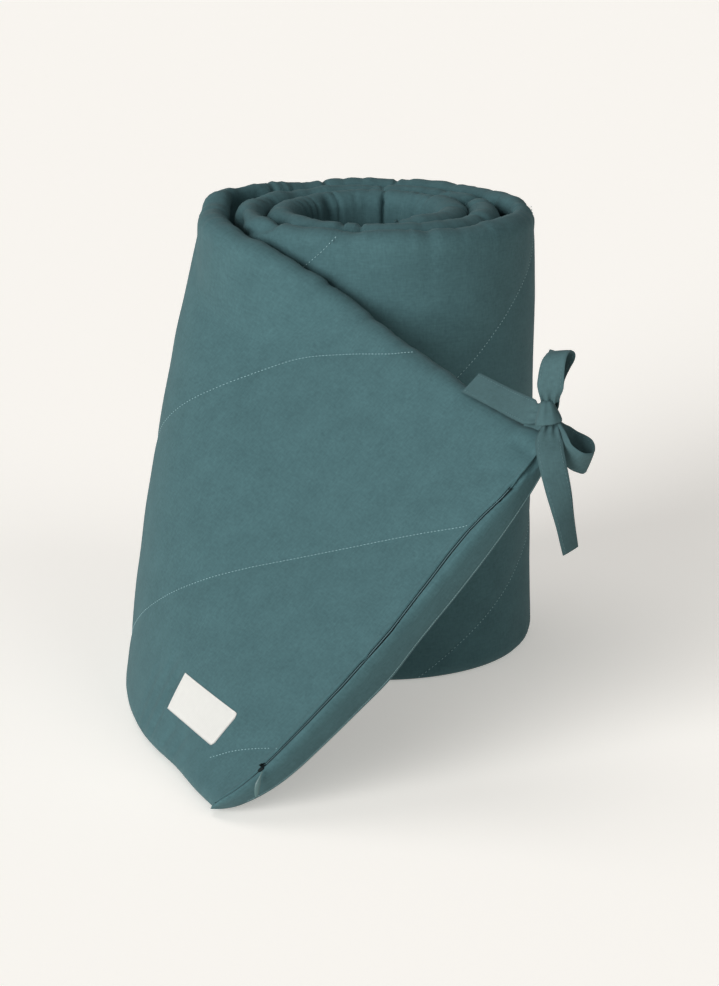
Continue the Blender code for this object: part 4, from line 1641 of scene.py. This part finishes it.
class RibbonRun(NamedTuple):
    """A ribbon's run in even steps, from the knot and in mm, each value with one row for each step."""

    middles: Array
    ways: Array
    widths: Array
    offs: Array
    length: Array
    free: Array
    half: Array


class KnotRing(NamedTuple):
    """A ring round the knot, in mm: where its middle is and its half width and half depth."""

    up: float
    right: float
    toward: float
    half_wide: float
    half_deep: float


@dataclass
class RibbonTies:
    """Two folded cotton ribbons tied in a bow at the flap's upper corner."""

    axis: Triple
    knot_centre: Triple = (0.0990, -0.2850, 0.2320)
    width: float = 0.0160
    thickness: float = 0.0012
    upper_tie: tuple[RibbonPlace, ...] = rows_of(
        RibbonPlace,
        (-43.5, 2.0, -65.0, 0.28, 0.62, -0.72),
        (-25.0, -1.8, -39.0, 0.40, 0.66, -0.63),
        (-15.0, -2.4, -20.0, 0.42, 0.78, -0.45),
        (-8.5, -2.2, -9.5, 0.36, 0.92, -0.15),
        (-1.0, 2.0, -6.0, -0.30, 0.95, 0.0),
        (0.0, 9.0, -6.0, -0.90, 0.25, -0.25),
        (0.2, 18.0, -7.0, -0.90, 0.0, -0.40),
        (4.0, 27.0, -7.5, -0.82, -0.12, -0.56),
        (6.0, 33.6, -5.8, -0.80, -0.18, -0.58),
        (4.0, 35.8, -1.8, -0.80, -0.20, -0.58),
        (1.4, 33.8, 2.6, -0.80, -0.20, -0.58),
        (-0.6, 27.0, 5.0, -0.84, -0.08, -0.50),
        (-1.4, 17.0, 5.5, -0.90, 0.0, -0.35),
        (-1.2, 7.2, 2.0, -0.98, 0.0, -0.10),
    )
    hanging_tail: tuple[RibbonPlace, ...] = rows_of(
        RibbonPlace,
        (11.0, -74.5, 25.0, 0.56, 0.18, -0.81),
        (7.0, -54.5, 24.5, 0.75, 0.12, -0.65),
        (2.5, -35.5, 22.5, 0.95, 0.05, -0.30),
        (-1.0, -20.5, 18.0, 1.0, 0.0, 0.0),
        (-1.8, -12.5, 11.0, 1.0, 0.0, 0.0),
        (-0.8, -5.4, 5.0, 1.0, 0.0, 0.0),
        (-1.2, 0.0, 3.0, 1.0, 0.0, 0.0),
    )
    right_loop: tuple[RibbonPlace, ...] = rows_of(
        RibbonPlace,
        (0.5, -4.0, 0.0, 0.05, 0.85, -0.40),
        (6.4, -13.2, -3.5, 0.20, 0.84, -0.45),
        (12.1, -19.0, -6.5, 0.30, 0.82, -0.45),
        (18.6, -22.9, -6.5, 0.30, 0.90, -0.25),
        (22.3, -26.2, -2.0, 0.30, 0.92, 0.0),
        (22.4, -27.6, 3.0, 0.30, 0.90, 0.10),
        (19.6, -27.3, 7.0, 0.30, 0.82, 0.35),
        (14.0, -25.2, 9.8, 0.30, 0.78, 0.50),
        (7.2, -19.6, 9.5, 0.32, 0.78, 0.50),
        (3.4, -10.5, 6.0, 0.45, 0.75, 0.45),
        (0.5, -3.0, 2.5, 0.40, 0.80, 0.40),
    )
    corner_root: tuple[RibbonPlace, ...] = rows_of(
        RibbonPlace,
        (-14.0, -8.5, -17.0, 0.20, 0.95, -0.20),
        (-9.0, -7.5, -12.5, 0.20, 0.95, -0.20),
        (-5.0, -5.0, -8.0, 0.20, 0.95, -0.20),
        (-1.0, -1.5, -3.0, 0.20, 0.95, -0.10),
    )
    step_mm: float = 0.8
    sides: int = 17
    pinch_near_mm: float = 7.0
    pinch_far_mm: float = 20.0
    pinch_share: float = 0.62
    cup_mm: float = 0.25
    pleat_mm: float = 0.9
    # The hem's edge shows as a fine groove at this share of the half width.
    hem_share: float = 0.78
    hem_groove_mm: float = 0.16
    hem_stitch_sink_mm: float = 0.10
    hem_stitch_every: int = 3
    knot_rings: tuple[KnotRing, ...] = rows_of(
        KnotRing,
        (8.4, -2.6, 1.2, 1.6, 2.4),
        (8.0, -2.6, 1.2, 3.2, 3.6),
        (6.3, -2.5, 1.3, 4.0, 4.5),
        (3.6, -2.3, 1.6, 5.0, 5.5),
        (0.8, -2.1, 2.1, 6.2, 6.3),
        (-1.6, -1.9, 2.6, 7.2, 6.9),
        (-3.3, -1.8, 3.0, 7.7, 7.2),
        (-4.0, -1.8, 3.1, 7.7, 7.1),
        (-4.2, -1.8, 3.1, 7.3, 6.6),
        (-3.6, -1.8, 3.0, 6.9, 6.2),
        (-1.0, -2.0, 2.4, 5.6, 5.2),
    )
    knot_sides: int = 48

    def in_row_frame(self, ways: Array) -> Array:
        """Ways given as right, up and toward the viewer, in the row frame."""
        right, up, toward = np.moveaxis(ways, -1, 0)
        return np.stack([right, -toward, up], -1)

    def from_knot(self, offsets_mm: Array) -> Array:
        """Points in the row frame from places right of, above and in front of the knot, in mm."""
        return np.array(self.axis) + np.array(self.knot_centre) + self.in_row_frame(offsets_mm * MM)

    def run(self, places: tuple[RibbonPlace, ...]) -> RibbonRun:
        """Find a ribbon's run. Near the knot it is pinched, and away from it free.

        Args:
            places: the places that it passes through.

        Returns:
            The run.
        """
        rows = smooth_run(places, 14)
        length = distances(rows[:, :3])
        even = np.linspace(0.0, length[-1], int(length[-1] / self.step_mm) + 2)
        rows = np.stack([np.interp(even, length, column) for column in rows.T], -1)
        middles, widths = rows[:, :3], rows[:, 3:]
        ways = unit(np.gradient(middles, axis=0))
        widths = unit(widths - ways * (widths * ways).sum(-1, keepdims=True))
        free = smoothly(np.linalg.norm(middles, axis=1), self.pinch_near_mm, self.pinch_far_mm)
        half = self.width / MM / 2 * (self.pinch_share + (1 - self.pinch_share) * free)
        return RibbonRun(middles, ways, widths, np.cross(ways, widths), distances(middles), free, half)

    def ribbon(
        self,
        piece: Piece,
        places: tuple[RibbonPlace, ...],
        finish: Material,
        hemmed_start: bool,
        seed: int,
    ) -> None:
        """Make one run of ribbon.

        Args:
            piece: its name, the solids that it stands for and its slot.
            places: the places that it passes through.
            finish: its cotton.
            hemmed_start: whether its first end is a folded hem.
            seed: which wrinkles it has.
        """
        run = self.run(places)
        length, free = run.length[:, None], run.free[:, None]
        around = np.linspace(-1, 1, self.sides)
        front = self.thickness / MM / 2 * (1 - np.abs(around) ** 10) ** 0.5
        front = front - self.hem_groove_mm * bell(np.abs(around) - self.hem_share, 0.05)
        across = np.concatenate([around, around[::-1]])
        outline = np.concatenate([front, -front[::-1]])
        wave = 0.28 * ripple(length * MM, 0.011, 50 + seed)
        twist = 0.30 * ripple(length * MM, 0.017, 60 + seed)
        pleat = self.pleat_mm * np.cos(2.6 * math.pi * across + seed)
        off = (self.cup_mm * across**2 + twist * across + wave) * free + pleat * (1 - free)
        if hemmed_start:
            ends = 0.55 + 0.45 * smoothly(length, 0.0, 0.7) - 0.10 * bell(length - 4.5, 0.5)
        else:
            ends = 1.0
        off = off + outline * ends
        beside = across * run.half[:, None]
        points = run.widths[:, None] * beside[..., None] + run.offs[:, None] * off[..., None]
        points = self.from_knot(points + run.middles[:, None])
        rows, columns = len(length), len(across)
        faces = grid_faces(rows, columns, True)
        for first in (0, (rows - 1) * columns):
            cap = [
                (first + side, first + side + 1, first + columns - 2 - side, first + columns - 1 - side)
                for side in range(self.sides - 1)
            ]
            faces += flipped(cap) if first == 0 else cap
        # The back's cloth coordinates lie beside the front's, so that the two don't share their weave.
        sideways = across * self.width / 2 + 0.02 * (outline > 0)
        uvs = np.stack([np.repeat(run.length * MM, columns), np.tile(sideways, rows)], -1)
        ribbon = mesh_piece(piece, points, faces, finish, uvs)

    def hem_stitches(self, finish: Material, stitches: Stitches) -> None:
        """Make the stitches along both edges of each ribbon.

        Args:
            finish: the thread's material.
            stitches: their sizes.
        """
        level = self.thickness / MM / 2 - self.hem_stitch_sink_mm
        cupped = self.cup_mm * self.hem_share**2
        places, ways, offs = [], [], []
        for rows in (self.upper_tie, self.hanging_tail, self.right_loop):
            run = self.run(rows)
            kept = np.arange(2, len(run.middles) - 2, self.hem_stitch_every)
            kept = kept[run.free[kept] > 0.9]
            middles, along, widths, normals = (part[kept] for part in run[:4])
            for side in (-self.hem_share, self.hem_share):
                for face in (-1, 1):
                    beside = widths * (run.half[kept, None] * side)
                    places.append(self.from_knot(middles + beside + normals * (face * level + cupped)))
                    ways.append(self.in_row_frame(along))
                    offs.append(self.in_row_frame(normals * face))
        points, faces = stitches.threads(np.vstack(places), np.vstack(ways), np.vstack(offs))
        mesh_piece(Piece("hem_thread", (), "ribbon_cotton"), points, faces, finish)

    def knot(self, finish: Material) -> None:
        """Make the knot: a ribbon wrapped round, narrow at its top and open over the hanging tail.

        Args:
            finish: its cotton.
        """
        turn = 2 * math.pi * np.arange(self.knot_sides) / self.knot_sides
        wide, deep = superellipse(self.knot_sides, 0.8)
        rings, uvs = [], []
        for ring in self.knot_rings:
            fold = 0.30 * np.cos(5 * turn + 0.25 * ring.up) + 0.16 * np.cos(9 * turn + 1.0)
            side = wide * (ring.half_wide + 0.4 * fold)
            ahead = deep * (ring.half_deep + fold)
            rise = ring.up + 0.14 * side * (1 if ring.up < 3 else 0.3)
            rings.append(np.stack([ring.right + side, rise, ring.toward + ahead], -1))
            uvs.append(np.stack([turn * 0.006, np.full_like(turn, ring.up * MM)], -1))
        faces = flipped(tube_faces(len(rings), self.knot_sides))
        piece = Piece("knot_wrap", ("bow_knot",), "ribbon_cotton")
        mesh_piece(piece, self.from_knot(np.vstack(rings)), faces, finish, np.vstack(uvs))

    def build(self, finish: Material, thread: Material) -> None:
        """Make the knot, the four runs of ribbon and their hem stitches.

        Args:
            finish: the ribbons' cotton.
            thread: the stitches' thread.
        """
        self.knot(finish)
        runs = (
            ("upper_tie", ("tie_upper",), self.upper_tie, True),
            ("hanging_tail", ("tie_hanging_tail",), self.hanging_tail, True),
            ("right_loop", ("tie_right_loop",), self.right_loop, False),
            ("corner_root", (), self.corner_root, False),
        )
        for seed, (name, replaces, places, hemmed_start) in enumerate(runs, 1):
            self.ribbon(Piece(name, replaces, "ribbon_cotton"), places, finish, hemmed_start, seed)
        self.hem_stitches(thread, Stitches(pitch_mm=2.4, length_mm=1.5, thread_mm=0.26))


# ---------------------------------------------------------------------------------------------------
# The studio


class SoftLight(NamedTuple):
    """A large soft lamp: where it stands round the part and its rise, in degrees, and its strength."""

    name: str
    around: float
    rise: float
    strength: float


@dataclass(frozen=True)
class Studio:
    """The pale floor, the soft lights and the camera."""

    axis: Triple
    floor_colour: str = "f4f1ec"
    floor_size: float = 14.0
    floor_glow: float = 0.36
    lights: tuple[SoftLight, ...] = rows_of(
        SoftLight,
        ("left_screen", 180.0, 20.0, 0.05),
        ("key_screen", 230.0, 12.0, 4.45),
        ("right_screen", 322.0, 36.0, 0.47),
        ("overhead_screen", 150.0, 72.0, 0.44),
    )
    light_spread: float = 40.0
    sky_colour: str = "fbf9f6"
    sky_strength: float = 0.15
    # The camera, from the roll's axis: 1.9 m away and looking 16 degrees down.
    camera_place: Triple = (-0.01062, -1.81539, 0.63393)
    camera_tilt: float = 73.642
    lens_mm: float = 101.06
    sensor_mm: float = 36.0

    def light(self) -> None:
        """Add the soft lights and the even light all round."""
        for lamp in self.lights:
            light = bpy.data.lights.new(lamp.name, "SUN")
            light.energy = lamp.strength
            light.angle = math.radians(self.light_spread)
            holder = bpy.data.objects.new(lamp.name, light)
            holder.rotation_euler = (math.radians(90 - lamp.rise), 0.0, math.radians(lamp.around + 90))
            bpy.context.scene.collection.objects.link(holder)
        world = bpy.data.worlds.new("studio")
        bpy.context.scene.world = world
        world.use_nodes = True
        back = world.node_tree.nodes["Background"]
        back.inputs["Color"].default_value = linear(self.sky_colour)
        back.inputs["Strength"].default_value = self.sky_strength

    def floor(self) -> None:
        """Add the floor."""
        size = self.floor_size
        mesh = bpy.data.meshes.new("floor")
        corners = [(-size, -size, 0), (size, -size, 0), (size, size, 0), (-size, size, 0)]
        mesh.from_pydata(corners, [], [(0, 1, 2, 3)])
        finish = bpy.data.materials.new("studio_floor")
        finish.use_nodes = True
        looks = {
            "Base Color": linear(self.floor_colour),
            "Roughness": 0.95,
            "Specular IOR Level": 0.0,
            "Emission Color": linear(self.floor_colour),
            "Emission Strength": self.floor_glow,
        }
        set_inputs(finish.node_tree, finish.node_tree.nodes["Principled BSDF"], looks)
        mesh.materials.append(finish)
        floor = bpy.data.objects.new("floor", mesh)
        bpy.context.scene.collection.objects.link(floor)

    def camera(self) -> None:
        """Add the camera."""
        camera = bpy.data.cameras.new("camera")
        camera.lens = self.lens_mm
        camera.sensor_width = self.sensor_mm
        camera.sensor_fit = "AUTO"
        holder = bpy.data.objects.new("camera", camera)
        holder.location = [centre + away for centre, away in zip(self.axis, self.camera_place)]
        holder.rotation_euler = (math.radians(self.camera_tilt), 0.0, 0.0)
        bpy.context.scene.collection.objects.link(holder)
        bpy.context.scene.camera = holder


def main() -> None:
    """Build the stage and every piece."""
    logging.basicConfig(level=logging.INFO, format="%(message)s")
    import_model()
    bpy.context.scene.view_settings.view_transform = "Standard"

    shape = BandShape()
    studio = Studio(shape.axis)
    studio.camera()
    studio.light()
    studio.floor()

    cotton = WovenCotton("plain_woven_cotton", "405f63", "355155").make()
    thread = SpunThread("spun_thread", "7fa0a4").make()
    band = PaddedBand(shape)
    band.build(cotton)
    Quilting(band, Stitches()).build(thread)
    hem = SpunThread("hem_thread", "4f6b6f").make()
    # The edge thread is paler than the cloth: a painted highlight along the gusset's far edge.
    edge = SpunThread("gusset_painted_highlight_thread", "6a8a8d").make()
    GussetHighlightStitching(band, Stitches(pitch_mm=1.5, length_mm=1.45, thread_mm=0.5)).build(edge)
    # The nylon is near black: the coil's and slider's own colour, and painted shade in the zip's slits.
    nylon = SmoothFinish("dyed_nylon_and_painted_slit_shade", "0d191b", 0.75, specular=0.15).make()
    # The tape is lighter than the cloth: painted light that offsets the shade of the slit.
    tape = SmoothFinish("woven_tape_painted_lighter", "48656a", 0.85).make()
    enamel = SmoothFinish("enamelled_zinc", "405c5c", 0.40).make()
    ZipClosure(band).build(nylon, tape, enamel)
    WovenLabel(band).build(LabelSatin("label_satin", "c4c4c0").make())
    ribbon = WovenCotton("woven_ribbon_cotton", "415c5f", "385053", thread_mm=0.7, slub_mm=4.0).make()
    RibbonTies(shape.axis).build(ribbon, hem)


if __name__ == "__main__":
    main()
